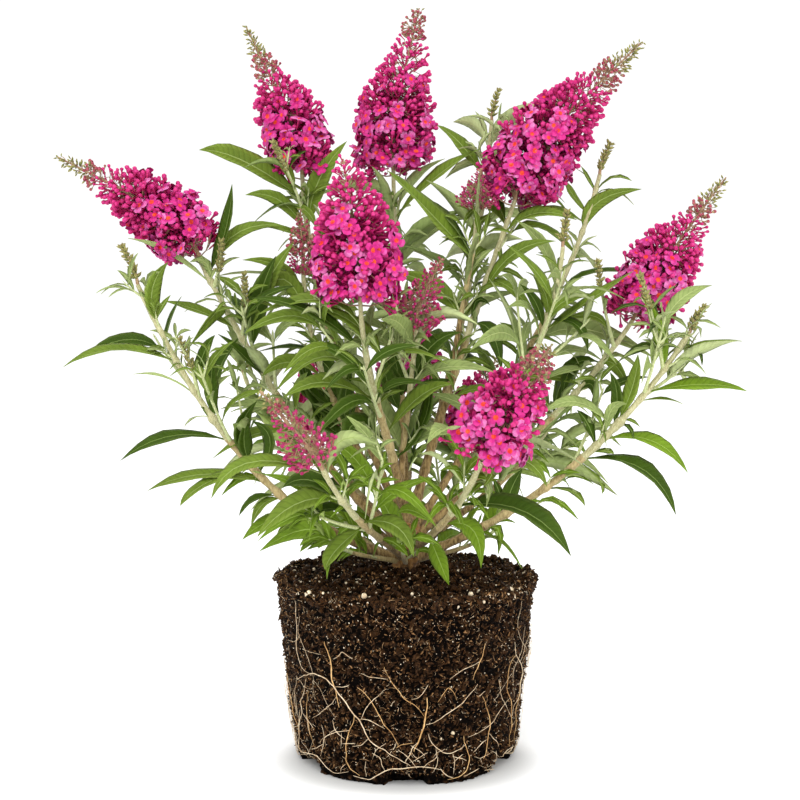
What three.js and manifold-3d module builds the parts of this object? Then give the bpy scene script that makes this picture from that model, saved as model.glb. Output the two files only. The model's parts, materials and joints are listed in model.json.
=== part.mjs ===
// A compact butterfly bush (Buddleja davidii) in flower, lifted out of its 3 litre nursery pot and
// standing on its bare root ball. Stems fan out of a short woody crown. Each is one tapering limb
// that runs on into its own mass of leaves, and most end in a cone of flowers.
// Millimetres, +Z up. The origin is the centre of the root ball's flat underside.
import * as THREE from "three";
import { mergeVertices } from "three/addons/utils/BufferGeometryUtils.js";
import Module from "manifold-3d";

const wasm = await Module();
wasm.setup();

// ---- Driving dimensions ----

const gap = 0.3; // clear space between two nodes that meet

const ball = {
  rimRadius: 91.8,
  footRadius: 78,
  height: 128,
  sides: 36,
  lump: 1.3, // how far the crumbly side strays from a true cone
  topLump: 2.2,
  seatRadius: 18, // the level patch that the woody crown stands on
  notches: 6, // left by the ribs under the pot
  notchWidth: 28,
  notchDepth: 9,
  notchHeight: 8,
};

const crown = { flareRadius: 13.5, waistRadius: 8.2, knuckleRadius: 9.6, height: 38, lean: [2, -1.5] };

const limbs = {
  tipRadius: 1.5,
  sides: 6,
  step: 30,
  square: 1.12, // a leafy shoot is square: its corners stand this much out of the round
};

const leaf = {
  length: 67,
  widthShare: 0.118, // half the width over the length
  sections: [[0.34, 1], [0.7, 0.66]], // shares of its length, each with the width there
  fold: 0.12, // how far the edges rise over the midrib, for each mm of half width
  thickness: 0.9,
  droop: 0.54,
  open: 50, // degrees between a leaf and its stem
  opening: 12, // how much less that is at the stem's tip than at its foot
  taper: 0.2, // how much shorter the leaves are at the tip
  rise: 0.08, // added to the way a leaf sets off, which is never flatter than leastRise
  leastRise: 0.23,
  leastOut: 0.35, // how far a leaf must turn away from the wall that it leaves
  tilt: [18, 66], // degrees that its upper face leans from the upright
  heart: [0, 40], // x and y of the middle of the crown, which the upper faces lean away from
  heartWidth: 12, // nearer to the heart than this, a leaf may lean either way
  varies: { turn: 12, open: 9, length: 0.12, droop: 0.14 },
  clearance: 0.4, // kept from whatever the leaf doesn't grow on
  // A leaf that would touch something tries these turns in order, and is left out if none is clear.
  attempts: [
    { turn: 0, open: 0, tilt: 1 },
    { turn: 0, open: -10, tilt: -0.8 },
    { turn: 16, open: 4, tilt: 0.4 },
    { turn: -16, open: 8, tilt: 1.1 },
    { turn: 8, open: -16, tilt: 0.6 },
  ],
};

const pairs = { internode: 23, jointHeight: 2.6, axil: 0.8 };

const seed = 85; // picks where the leaf pairs start, how they are turned, and every small chance

// Side shoots in the axils of some leaves.
const sideShoot = {
  share: 0.22, upTo: 0.85, open: 31, reach: 72, lift: 0.16, radius: 1.1, size: 0.72, internode: 17,
};

const blossom = {
  open: { rings: 13, sides: 10 },
  closed: { rings: 8, sides: 8 },
  bow: 0.21, // how far a leaning cone's axis rises over its chord, as a share of its length
  dip: 0.8, // depth of the dips between clusters of florets, as a share of the cone's radius
  // The radius of a cone at shares of its length, over its greatest radius.
  outline: [[0, 0.36], [0.1, 0.82], [0.28, 1], [0.48, 0.84], [0.66, 0.52], [0.82, 0.3], [1, 0.1]],
};

// Where each stem ends and how it gets there. foot is the height on the woody crown's axis, or
// "from" and "at" name the stem that it forks from and the share of that stem below the fork.
// leans gives the stem's angle from the vertical where it starts and ends, in degrees. enters is
// the share of the stem that is a bare bough. spike holds the flower cone: the point it reaches,
// its width, and open, closed or green.
const stems = [
  { name: "front", foot: 26, leans: [12, 5], tip: [-30, -60, 319], radius: 4.2, enters: 0.34,
    spike: { to: [-41, -66, 412], width: 64, kind: "open" } },
  { name: "left", foot: 18, leans: [50, 28], tip: [-145, 15, 346], radius: 3.4, enters: 0.34,
    spike: { to: [-245, 10, 420], width: 56, kind: "open" } },
  { name: "top_left", foot: 26, leans: [30, 4], tip: [-76, 60, 411], radius: 3.2, enters: 0.36,
    spike: { to: [-118, 70, 521], width: 56, kind: "open" } },
  { name: "top_middle", foot: 27, leans: [26, 5], tip: [-9, 95, 417], radius: 3.4, enters: 0.36,
    spike: { to: [11, 100, 541], width: 64, kind: "open" } },
  { name: "top_right", foot: 26, leans: [16, 22], tip: [79, 40, 391], radius: 3.8, enters: 0.36,
    spike: { to: [169, 30, 503], width: 66, kind: "open" } },
  { name: "right", foot: 19, leans: [48, 33], tip: [160, 10, 305], radius: 3.3, enters: 0.34,
    spike: { to: [224, 5, 406], width: 56, kind: "open" } },
  { name: "low_right", foot: 10, leans: [62, 40], tip: [47, -115, 222], radius: 3.1, enters: 0.42,
    spike: { to: [88, -130, 294], width: 56, kind: "open" } },
  { name: "low_left", foot: 9, leans: [64, 44], tip: [-52, -115, 216], radius: 2.9, enters: 0.42,
    spike: { to: [-89, -135, 267], width: 38, kind: "closed" } },
  { name: "left_outer", foot: 8, leans: [76, 24], tip: [-181, -30, 330], radius: 3.3, enters: 0.3,
    spike: { to: [-192, -30, 357], width: 10, kind: "green" } },
  { name: "right_outer", foot: 7, leans: [68, 32], tip: [190, -40, 298], radius: 3.3, enters: 0.3,
    spike: { to: [200, -40, 316], width: 9, kind: "green" } },
  { name: "inner_left", foot: 22, leans: [30, 2], tip: [-73, 25, 337], radius: 2.7, enters: 0.4,
    spike: { to: [-75, 25, 385], width: 24, kind: "closed" } },
  { name: "right_rear", foot: 22, leans: [36, 16], tip: [143, 60, 411], radius: 2.8, enters: 0.38,
    spike: { to: [151, 60, 435], width: 10, kind: "green" } },
  { name: "middle", from: "front", at: 0.22, leans: [14, 12], tip: [7, -35, 300], radius: 2.4,
    enters: 0, spike: { to: [24, -40, 348], width: 36, kind: "closed" } },
  { name: "upper_side", from: "top_right", at: 0.45, leans: [4, 3], tip: [51, 25, 385], radius: 2.1,
    enters: 0, spike: { to: [53, 20, 412], width: 30, kind: "closed" } },
  { name: "upper_rear", foot: 26, leans: [28, 9], tip: [66, 100, 455], radius: 2.7, enters: 0.5,
    spike: { to: [71, 100, 478], width: 9, kind: "green" } },
  { name: "inner_right", from: "right", at: 0.3, leans: [18, 4], tip: [108, -10, 356], radius: 2.4,
    enters: 0, spike: { to: [111, -10, 381], width: 10, kind: "green" } },
  { name: "rear_left", foot: 14, leans: [60, 30], tip: [-60, 130, 215], radius: 3.0, enters: 0.4,
    spike: { to: [-84, 166, 282], width: 50, kind: "open" } },
  { name: "rear_right", foot: 12, leans: [60, 30], tip: [52, 130, 206], radius: 3.0, enters: 0.4,
    spike: { to: [76, 166, 272], width: 50, kind: "open" } },
  { name: "rear_middle", foot: 20, leans: [44, 24], tip: [4, 165, 240], radius: 3.1, enters: 0.4,
    spike: { to: [6, 198, 322], width: 54, kind: "open" } },
  { name: "rear_left_outer", foot: 12, leans: [66, 26], tip: [-126, 108, 262], radius: 3.0, enters: 0.36,
    spike: { to: [-134, 112, 284], width: 9, kind: "green" } },
  { name: "rear_right_outer", foot: 11, leans: [64, 28], tip: [132, 112, 258], radius: 3.0, enters: 0.36,
    spike: { to: [142, 116, 280], width: 9, kind: "green" } },
];

// Short leafy shoots round the foot of the plant, fanned out evenly from the first heading.
const footShoots = {
  count: 5, foot: 5, firstHeading: 205, reach: 62, rise: 30, radius: 1.9, leans: [70, 48], size: 0.8,
};

// ---- Helpers: chance, curves, solids ----

const up = new THREE.Vector3(0, 0, 1);
const radians = THREE.MathUtils.degToRad;

// A repeatable number from 0 to 1 for a few whole numbers.
function chance(...keys) {
  let mixed = 2166136261;
  for (const key of keys) {
    mixed = Math.imul(mixed ^ key, 16777619);
    mixed ^= mixed >>> 13;
    mixed = Math.imul(mixed, 1540483477);
    mixed ^= mixed >>> 15;
  }
  return (mixed >>> 0) / 4294967296;
}

const spread = (amount, ...keys) => amount * (2 * chance(...keys) - 1);

// One vector plus any number of others, each with its factor.
function sum(start, ...terms) {
  const total = start.clone();
  for (let i = 0; i < terms.length; i += 2) total.addScaledVector(terms[i], terms[i + 1]);
  return total;
}

// A direction at an angle from one axis towards another that is square to it.
function between(axis, other, angle) {
  return sum(new THREE.Vector3(), axis, Math.cos(angle), other, Math.sin(angle));
}

// The part of a vector that stands square to an axis, at unit length.
const squareTo = (vector, axis) => sum(vector, axis, -vector.dot(axis)).normalize();

// Point, direction and two crossways directions at a share of a curve's length. Past its ends the
// curve runs straight on.
function frameAt(curve, share, guide) {
  const at = Math.min(Math.max(share, 0), 1);
  const ahead = curve.getTangentAt(at);
  const side = squareTo(guide, ahead);
  const point = sum(curve.getPointAt(at), ahead, (share - at) * curve.getLength());
  return { point, ahead, side, over: ahead.clone().cross(side) };
}

function solidOf(geometry) {
  const bare = geometry.clone();
  bare.deleteAttribute("normal");
  bare.deleteAttribute("uv");
  const merged = mergeVertices(bare, 1e-4);
  return new wasm.Manifold(
    new wasm.Mesh({
      numProp: 3,
      vertProperties: new Float32Array(merged.attributes.position.array),
      triVerts: new Uint32Array(merged.index.array),
    }),
  );
}

function geometryOf(solid) {
  const mesh = solid.getMesh();
  const points = new Float32Array(mesh.numVert * 3);
  for (let i = 0; i < mesh.numVert; i++)
    points.set(mesh.vertProperties.subarray(i * mesh.numProp, i * mesh.numProp + 3), i * 3);
  const geometry = new THREE.BufferGeometry();
  geometry.setAttribute("position", new THREE.BufferAttribute(points, 3));
  geometry.setIndex(new THREE.BufferAttribute(mesh.triVerts, 1));
  geometry.computeVertexNormals();
  return geometry;
}

// Cutting can leave scraps: the largest body is the piece.
const largestBody = (solid) => solid.decompose().reduce((a, b) => (b.volume() > a.volume() ? b : a));

// Moves every vertex of a geometry by a function of its place.
function reshape(geometry, move) {
  const place = geometry.attributes.position;
  const point = new THREE.Vector3();
  for (let i = 0; i < place.count; i++) {
    move(point.fromBufferAttribute(place, i));
    place.setXYZ(i, point.x, point.y, point.z);
  }
  return geometry;
}

// A tube of changing radius along a curve, from one share of its length to another.
function limb(curve, guide, radiusAt, { from = 0, to = 1, sides, steps }) {
  const tube = new THREE.CylinderGeometry(1, 1, 1, sides, steps);
  reshape(tube, (point) => {
    const share = from + (to - from) * (point.y + 0.5);
    const { point: centre, side, over } = frameAt(curve, share, guide);
    const radius = radiusAt(share);
    // The cylinder runs along +Y with X and Z across it, so over takes -Z to keep the faces outward.
    point.copy(sum(centre, side, point.x * radius, over, -point.z * radius));
  });
  return solidOf(tube);
}

// A turned body from [radius, height] marks that start and end on the axis.
function turned(marks, sides) {
  const body = new THREE.LatheGeometry(marks.map(([radius, z]) => new THREE.Vector2(radius, z)), sides);
  return body.rotateX(Math.PI / 2);
}

// ---- Root ball and woody crown ----

function rootBall() {
  const { rimRadius, footRadius, height, seatRadius, lump, topLump } = ball;
  const sideAt = (z) => footRadius + ((rimRadius - footRadius) * z) / height;
  const body = turned(
    [
      [0, 0],
      [footRadius - 3, 0],
      [footRadius, 3],
      ...[26, 52, 78, 104].map((z) => [sideAt(z), z]),
      [rimRadius - 0.5, height - 6],
      [rimRadius - 5, height],
      [rimRadius - 26, height + 2],
      [seatRadius + 22, height + 2],
      [seatRadius, height],
      [0, height],
    ],
    ball.sides,
  );
  reshape(body, (point) => {
    const radius = Math.hypot(point.x, point.y);
    if (radius < seatRadius + 1 || point.z < 1) return;
    const heading = Math.atan2(point.y, point.x);
    const wave =
      Math.sin(5 * heading + point.z / 9) * 0.5 +
      Math.sin(11 * heading - point.z / 14 + 1.2) * 0.3 +
      Math.sin(17 * heading + point.z / 5) * 0.2;
    const out = 1 + (lump * wave) / radius;
    point.x *= out;
    point.y *= out;
    if (point.z > height - 8) point.z += topLump * Math.sin(7 * heading + radius / 7) * 0.6;
  });
  let solid = solidOf(body);
  for (let i = 0; i < ball.notches; i++) {
    const cutter = new THREE.BoxGeometry(2 * ball.notchDepth, ball.notchWidth, 2 * ball.notchHeight);
    cutter.translate(footRadius, 0, 0);
    cutter.rotateZ(radians(-90 + (360 / ball.notches) * i));
    solid = solid.subtract(solidOf(cutter));
  }
  return solid;
}

// The woody crown flares where it meets the soil and swells again where the stems leave it.
function woodyCrown(grow = 0) {
  const { flareRadius, waistRadius, knuckleRadius, height, lean } = crown;
  const base = grow ? -gap : 0;
  const body = turned(
    [
      [0, base],
      [flareRadius + grow, base],
      [waistRadius + 2 + grow, 5],
      [waistRadius + grow, 13],
      [knuckleRadius + grow, 27],
      [knuckleRadius * 0.8 + grow, height - 3],
      [0, height + grow],
    ],
    10,
  );
  reshape(body, (point) => {
    const heading = Math.atan2(point.y, point.x);
    const knot = 1 + 0.09 * Math.sin(3 * heading + point.z / 6);
    const share = Math.max(point.z, 0) / height;
    point.x = point.x * knot + lean[0] * share;
    point.y = point.y * knot + lean[1] * share;
    point.z += ball.height + gap;
  });
  return solidOf(body);
}

function crownPoint(height) {
  const share = height / crown.height;
  return new THREE.Vector3(crown.lean[0] * share, crown.lean[1] * share, ball.height + gap + height);
}

// ---- Meshes built ring by ring ----

const addPoints = (mesh, points) => points.map((point) => mesh.points.push(point) - 1);

function centreOf(mesh, ring) {
  return sum(new THREE.Vector3(), ...ring.flatMap((i) => [mesh.points[i], 1 / ring.length]));
}

// Faces between two rings of vertices that both go counter-clockwise about the way ahead. The
// rings may differ in number: each vertex joins those at its own angle.
function bridge(mesh, near, far, ahead) {
  const side = squareTo(mesh.points[near[0]].clone().sub(centreOf(mesh, near)), ahead);
  const over = ahead.clone().cross(side);
  const fullTurn = 2 * Math.PI;
  const anglesOf = (ring) => {
    const centre = centreOf(mesh, ring);
    return ring.map((i) => {
      const arm = mesh.points[i].clone().sub(centre);
      return Math.atan2(arm.dot(over), arm.dot(side));
    });
  };
  const nearAngles = anglesOf(near).map((angle) => (angle < -1e-6 ? angle + fullTurn : Math.max(angle, 0)));
  nearAngles.push(fullTurn);
  const angles = anglesOf(far);
  let first = 0; // the far vertex nearest in angle to the first near one
  for (let i = 1; i < far.length; i++) if (Math.abs(angles[i]) < Math.abs(angles[first])) first = i;
  const order = [...far.keys()].map((i) => (first + i) % far.length);
  const farAngles = order.map((i) => (angles[i] < angles[first] ? angles[i] + fullTurn : angles[i]));
  farAngles.push(farAngles[0] + fullTurn);
  let a = 0;
  let b = 0;
  while (a < near.length || b < far.length) {
    const here = near[a % near.length];
    const there = far[order[b % far.length]];
    const stepNear = b === far.length || (a < near.length && nearAngles[a + 1] <= farAngles[b + 1]);
    if (stepNear) mesh.faces.push(here, near[++a % near.length], there);
    else mesh.faces.push(here, far[order[++b % far.length]], there);
  }
}

function closeToPoint(mesh, ring, point) {
  const [tip] = addPoints(mesh, [point]);
  ring.forEach((i, k) => mesh.faces.push(i, ring[(k + 1) % ring.length], tip));
}

function solidFrom({ points, faces }) {
  const geometry = new THREE.BufferGeometry().setFromPoints(points);
  geometry.setIndex(faces);
  return solidOf(geometry);
}

// ---- What is placed so far, and clearance ----

const placed = [];

// spot is empty for a limb. For what grows on it, spot tells where, joint by joint.
function place(owner, solid, spot = "") {
  const { min, max } = solid.boundingBox();
  placed.push({ owner, spot, solid, low: min, high: max });
  return solid;
}

// Whether a body keeps off everything but what it grows on and its partner at the same joint.
function isClear(owner, spot, body) {
  const { min, max } = body.boundingBox();
  return placed.every((other) => {
    if (other.owner === owner && spot.startsWith(other.spot)) return true;
    for (let k = 0; k < 3; k++) if (other.low[k] > max[k] || other.high[k] < min[k]) return true;
    return other.solid.intersect(body).isEmpty();
  });
}

// ---- Leaves ----

// The way a leaf sets off from its stem, and the way its upper face looks: tilted to the outside of
// the crown, or to either side where neither is the outside.
function leafPose(frame, heading, open, tilt) {
  const outward = between(frame.side, frame.over, heading);
  const out = between(frame.ahead, outward, open);
  out.z = Math.max(out.z + leaf.rise, leaf.leastRise);
  out.normalize();
  const across = out.clone().cross(up);
  if (across.length() < 0.2) across.copy(outward);
  across.normalize();
  const middle = sum(frame.point, out, leaf.length * 0.38);
  const outside = (middle.x - leaf.heart[0]) * across.x + (middle.y - leaf.heart[1]) * across.y;
  const lean = Math.abs(outside) > leaf.heartWidth ? Math.sign(outside) * Math.abs(tilt) : tilt;
  return { out, face: squareTo(between(up, across, lean), out) };
}

function tiltOf(...keys) {
  const part = spread(1, ...keys, 5);
  return Math.sign(part) * radians(leaf.tilt[0] + (leaf.tilt[1] - leaf.tilt[0]) * Math.abs(part));
}

// The cross-sections of a leaf that arches out of its stem and hangs towards its tip, and the tip.
// Each goes right edge, underside, left edge. extra swells the leaf, to test its clearance.
function leafSections({ root, out, face, length, droop }, marks, extra = 0) {
  const sag = squareTo(up, out).multiplyScalar(-droop * Math.hypot(out.x, out.y) * length);
  const side = out.clone().cross(face).normalize();
  const sections = marks.map(([share, width]) => {
    const centre = sum(root, out, length * share, sag, share * share);
    const along = sum(out, sag, (2 * share) / length).normalize();
    const top = squareTo(face, along);
    const half = length * leaf.widthShare * width + extra;
    const lift = leaf.fold * half + extra;
    const depth = leaf.thickness * (0.4 + 0.6 * width) + extra;
    const keel = sum(centre, top, -depth);
    return [sum(centre, side, half, top, lift), keel, sum(centre, side, -half, top, lift)];
  });
  return { sections, tip: sum(root, out, length + extra, sag, 1) };
}

// Walls from an opening along the sections of a leaf to its tip.
function addLeaf(mesh, opening, shape, extra = 0) {
  const { sections, tip } = leafSections(shape, leaf.sections, extra);
  let ring = opening;
  for (const section of sections) {
    const next = addPoints(mesh, section);
    bridge(mesh, ring, next, shape.out);
    ring = next;
  }
  closeToPoint(mesh, ring, tip);
}

// A leaf as a body of its own, swollen by extra all over.
function leafSolid(shape, corners, extra) {
  const mesh = { points: [], faces: [] };
  const middle = sum(new THREE.Vector3(), ...corners.flatMap((corner) => [corner, 0.25]));
  const root = corners.map((corner) => sum(corner, corner.clone().sub(middle).normalize(), extra));
  const ring = addPoints(mesh, root);
  mesh.faces.push(ring[2], ring[1], ring[0], ring[3], ring[2], ring[0]);
  addLeaf(mesh, ring, shape, extra);
  return solidFrom(mesh);
}

// One leaf out of a four-cornered opening in the wall of its stem, if some pose keeps it clear.
function growLeaf(mesh, opening, { owner, size }, frame, wall, turn, spot, keys) {
  const { varies } = leaf;
  const opens = leaf.open + leaf.opening * (0.5 - frame.share) + spread(varies.open, ...keys, 2);
  for (const attempt of leaf.attempts) {
    const heading = turn + radians(attempt.turn);
    const pose = leafPose(frame, heading, radians(opens + attempt.open), tiltOf(...keys) * attempt.tilt);
    if (pose.out.dot(wall) < leaf.leastOut) continue;
    const shape = {
      root: sum(frame.point, wall, frame.radius * 0.7),
      length: size * leaf.length * (1 - leaf.taper * frame.share + spread(varies.length, ...keys, 3)),
      droop: leaf.droop + spread(varies.droop, ...keys, 4),
      ...pose,
    };
    const corners = opening.map((i) => mesh.points[i]);
    if (!isClear(owner, spot, leafSolid(shape, corners, leaf.clearance))) continue;
    place(owner, leafSolid(shape, corners, 0), spot);
    addLeaf(mesh, opening, shape);
    return true;
  }
  return false;
}

// ---- Shoots ----

// A square shoot with leaves in pairs, each pair a quarter turn from the one below, and a side
// shoot in the axil of some. opening is the four-cornered gap in a wall that a side shoot fills.
function growShoot(mesh, shoot, opening) {
  const { keys, curve, guide, length, radiusAt, from, leafFrom, first, phase, internode, spot } = shoot;
  const wallAt = ({ side, over }, corner) => between(side, over, radians(phase + 90 * corner));
  const frameHere = (share) => ({ ...frameAt(curve, share, guide), share, radius: radiusAt(share) });
  const ringAt = (share) => {
    const frame = frameHere(share);
    const out = frame.radius * limbs.square;
    return addPoints(mesh, [0, 1, 2, 3].map((k) => sum(frame.point, wallAt(frame, k - 0.5), out)));
  };
  let ring = ringAt(from / length);
  if (opening) bridge(mesh, opening, ring, curve.getTangentAt(0));
  else mesh.faces.push(ring[2], ring[1], ring[0], ring[3], ring[2], ring[0]);
  // Walls up to a distance along the shoot. fill(side, corners) may put something else in one.
  const raise = (distance, fill = () => false) => {
    const next = ringAt(distance / length);
    for (let k = 0; k < 4; k++) {
      const [a, b, c, d] = [ring[k], ring[(k + 1) % 4], next[(k + 1) % 4], next[k]];
      if (!fill(k, [a, b, c, d])) mesh.faces.push(a, b, c, a, c, d);
    }
    ring = next;
  };
  const half = pairs.jointHeight / 2;
  const start = leafFrom + pairs.jointHeight + first * internode;
  const count = Math.max(0, Math.floor((length - shoot.bareTip - start) / internode) + 1);
  if (start - from > limbs.step) raise((from + start) / 2);
  for (let pair = 0; pair < count; pair++) {
    const middle = start + pair * internode;
    raise(middle - half);
    raise(middle + half, (k, corners) => {
      if (k % 2 !== pair % 2) return false;
      const frame = frameHere(middle / length);
      const leafKeys = [...keys, pair, k === pair % 4 ? 0 : 1];
      const turn = radians(phase + 90 * k + spread(leaf.varies.turn, ...leafKeys, 1));
      return growLeaf(mesh, corners, shoot, frame, wallAt(frame, k), turn, spot + pair + "/", leafKeys);
    });
    if (spot || middle > sideShoot.upTo * length || chance(...keys, pair, 20) > 2 * sideShoot.share) continue;
    raise(middle + half + pairs.axil);
    raise(middle + 3 * half + pairs.axil, (k, corners) => {
      if (k % 2 !== pair % 2) return false;
      const frame = frameHere((middle + 2 * half + pairs.axil) / length);
      const shootKeys = [...keys, pair, k === pair % 4 ? 0 : 1, 30];
      return growSideShoot(mesh, corners, shoot, frame, wallAt(frame, k), shootKeys);
    });
  }
  if (length - start - (count - 1) * internode > 4 * half) raise(length);
  if (shoot.bud) growBud(mesh, ring, shoot);
  else if (spot) closeToPoint(mesh, ring, sum(curve.getPointAt(1), curve.getTangentAt(1), 4));
  else mesh.faces.push(ring[0], ring[1], ring[2], ring[0], ring[2], ring[3]);
}

function growSideShoot(mesh, corners, parent, frame, wall, keys) {
  const { open, reach, lift, radius, size, internode } = sideShoot;
  if (chance(...keys, 1) > 0.5) return false;
  const out = between(frame.ahead, wall, radians(open));
  const extent = reach * (1 + spread(0.25, ...keys, 2)) * (1.1 - 0.6 * frame.share);
  const root = sum(frame.point, wall, frame.radius * 0.75);
  const tip = sum(root, out, (1 - lift / 2) * extent, up, lift * extent);
  const curve = new THREE.QuadraticBezierCurve3(root, sum(root, out, 0.5 * extent), tip);
  const guide = squareTo(up, out).cross(out);
  const length = curve.getLength();
  const radiusAt = (share) => radius * (1 - 0.35 * share);
  const grownAt = (share) => radiusAt(share) + leaf.clearance;
  const body = limb(curve, guide, grownAt, { from: 0.08, to: 1 + 5 / length, sides: 4, steps: 3 });
  const spot = keys.join(".") + "/";
  if (!isClear(parent.owner, spot, body)) return false;
  place(parent.owner, body, spot);
  growShoot(
    mesh,
    {
      owner: parent.owner, keys, curve, guide, length, radiusAt, internode, spot,
      from: 3, leafFrom: 6, first: 0.5, bareTip: 2, phase: 45 + 90 * Math.round(chance(...keys, 3)),
      size: size * parent.size,
    },
    corners,
  );
  return true;
}

// A slim spike of green buds on the end of a shoot: rings that swell and turn, up to a point.
function growBud(mesh, ring, { curve, guide, bud }) {
  const start = curve.getPointAt(1);
  const end = new THREE.Vector3(...bud.to);
  const ahead = end.clone().sub(start).normalize();
  const side = squareTo(guide, ahead);
  const over = ahead.clone().cross(side);
  let last = ring;
  [[0.14, 0.7], [0.32, 1], [0.5, 0.66], [0.68, 0.72]].forEach(([share, width], level) => {
    const corners = [0, 1, 2, 3].map((k) => {
      const out = between(side, over, radians(90 * k + 45 * level));
      return sum(start.clone().lerp(end, share), out, (bud.width / 2) * width);
    });
    const next = addPoints(mesh, corners);
    bridge(mesh, last, next, ahead);
    last = next;
  });
  closeToPoint(mesh, last, end);
}

// ---- Flowers ----

function coneOutline(share) {
  const marks = blossom.outline;
  const last = Math.max(1, marks.findIndex(([at]) => at >= share));
  const [[from, low], [to, high]] = [marks[last - 1], marks[last]];
  return low + ((high - low) * (share - from)) / (to - from);
}

// A cone of florets on its own stalk. Its surface stands up in one peak for each cluster.
function flowerCone(stemIndex, start, ahead, { to, width, kind }) {
  const end = new THREE.Vector3(...to);
  const reach = end.distanceTo(start);
  const chord = end.clone().sub(start).normalize();
  const rise = squareTo(up, chord);
  const bend = blossom.bow * Math.hypot(chord.x, chord.y);
  const ending = sum(chord, rise, -2 * bend).normalize();
  const curve = new THREE.CubicBezierCurve3(
    start,
    sum(start, ahead, 0.2 * reach, rise, bend * reach),
    sum(end, ending, -0.4 * reach),
    end,
  );
  const guide = new THREE.Vector3(-ahead.z, 0.2, ahead.x).normalize();
  const { rings, sides } = blossom[kind];
  const cone = new THREE.CylinderGeometry(1, 1, 1, sides, rings);
  reshape(cone, (point) => {
    const level = Math.round((point.y + 0.5) * rings);
    const heading = Math.atan2(point.z, point.x);
    const column = Math.round((heading / (2 * Math.PI)) * sides + sides) % sides;
    const share = level / rings;
    const { point: centre, side, over } = frameAt(curve, 0.03 + 0.97 * share, guide);
    const peak = (level + column) % 2 === 0 ? 1.06 : blossom.dip;
    const full = (width / 2) * coneOutline(share) * peak * (1 + spread(0.12, stemIndex, level, column, 11));
    const out = Math.hypot(point.x, point.z) > 0.5 ? Math.max(full, 0.9) : 0;
    point.copy(sum(centre, side, Math.cos(heading) * out, over, -Math.sin(heading) * out));
  });
  const foot = new THREE.LineCurve3(sum(start, ahead, gap), curve.getPointAt(0.1));
  return limb(foot, guide, () => 1.4, { sides: 4, steps: 1 }).add(solidOf(cone));
}

// ---- Assembly ----

const finish = (color, roughness, flatShading = false) =>
  new THREE.MeshStandardMaterial({ color, roughness, metalness: 0, flatShading });

const materials = {
  soil: finish(0x33241a, 0.95),
  wood: finish(0x8a6a48, 0.85),
  stem: finish(0xb3a67e, 0.8),
  leaf: finish(0x557a38, 0.6, true),
  blossom: finish(0xc9187c, 0.6, true),
};

const bush = new THREE.Group();

function addNode(name, solid, material) {
  const mesh = new THREE.Mesh(geometryOf(solid), material);
  mesh.name = name;
  bush.add(mesh);
}

addNode("root_ball", place("root_ball", rootBall()), materials.soil);
addNode("woody_crown", place("woody_crown", woodyCrown()), materials.wood);

// Limbs come before leaves. Each is cut back from those before it, so that forks keep a fine gap.
const grownLimbs = [{ owner: "woody_crown", solid: woodyCrown(gap) }];

function cutBack(owner, body, count = grownLimbs.length) {
  const others = grownLimbs.slice(0, count).filter((other) => other.owner !== owner);
  return largestBody(others.reduce((solid, other) => solid.subtract(other.solid), body));
}

function limbPiece(owner, { curve, guide, length }, radiusAt, from, to) {
  const leafy = to === 1; // stands in for the leafy shoot that is built later
  const steps = Math.max(1, Math.round(((to - from) * length) / (leafy ? limbs.step / 3 : limbs.step)));
  const sides = limbs.sides;
  const flats = Math.cos(Math.PI / sides); // a flat side's distance from the axis, over a corner's
  const wide = leafy ? limbs.square / flats : 1;
  const whole = limb(curve, guide, (share) => radiusAt(share) * wide, { from, to, sides, steps });
  const end = leafy ? 1 + gap / length : to;
  const grownAt = (share) => (radiusAt(Math.min(share, 1)) * limbs.square + gap) / flats;
  const body = cutBack(owner, whole);
  grownLimbs.push({ owner, solid: limb(curve, guide, grownAt, { from, to: end, sides, steps }) });
  return body;
}

// A stem's curve leaves its foot and reaches its tip at the given angles from the vertical.
function stemCurve(start, tip, leans) {
  const across = tip.clone().sub(start).setZ(0).normalize();
  const reach = 0.36 * tip.distanceTo(start);
  const [setOff, arrive] = leans.map((lean) => between(up, across, radians(lean)));
  const curve = new THREE.CubicBezierCurve3(start, sum(start, setOff, reach), sum(tip, arrive, -reach), tip);
  return { curve, guide: across.cross(up), length: curve.getLength() };
}

const curves = new Map();
const masses = [];

stems.forEach((stem, index) => {
  const { name, radius, enters } = stem;
  const start = stem.from ? curves.get(stem.from).getPointAt(stem.at) : crownPoint(stem.foot);
  const made = stemCurve(start, new THREE.Vector3(...stem.tip), stem.leans);
  curves.set(name, made.curve);
  const radiusAt = (share) => radius + (limbs.tipRadius - radius) * Math.pow(share, 0.8);
  if (enters) {
    const bough = limbPiece(name, made, radiusAt, 0, enters);
    addNode("stem_" + name, place("stem_" + name, bough), materials.stem);
  }
  const from = enters ? enters + gap / made.length : 0;
  const order = grownLimbs.length;
  place(name, limbPiece(name, made, radiusAt, from, 1));
  const flowering = stem.spike.kind !== "green";
  if (flowering) {
    const cone = flowerCone(index, made.curve.getPointAt(1), made.curve.getTangentAt(1), stem.spike);
    const cut = largestBody(cone.subtract(grownLimbs.at(-1).solid));
    addNode("flowers_" + name, place("flowers_" + name, cut), materials.blossom);
  }
  const keys = [seed, index];
  masses.push({
    owner: name, keys, ...made, radiusAt, order, spot: "", size: 1,
    from: from * made.length, leafFrom: (enters || 0.18) * made.length, bareTip: flowering ? 9 : 3,
    first: chance(...keys, 41), phase: 180 * chance(...keys, 42), internode: pairs.internode,
    bud: flowering ? null : stem.spike,
  });
});

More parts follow.
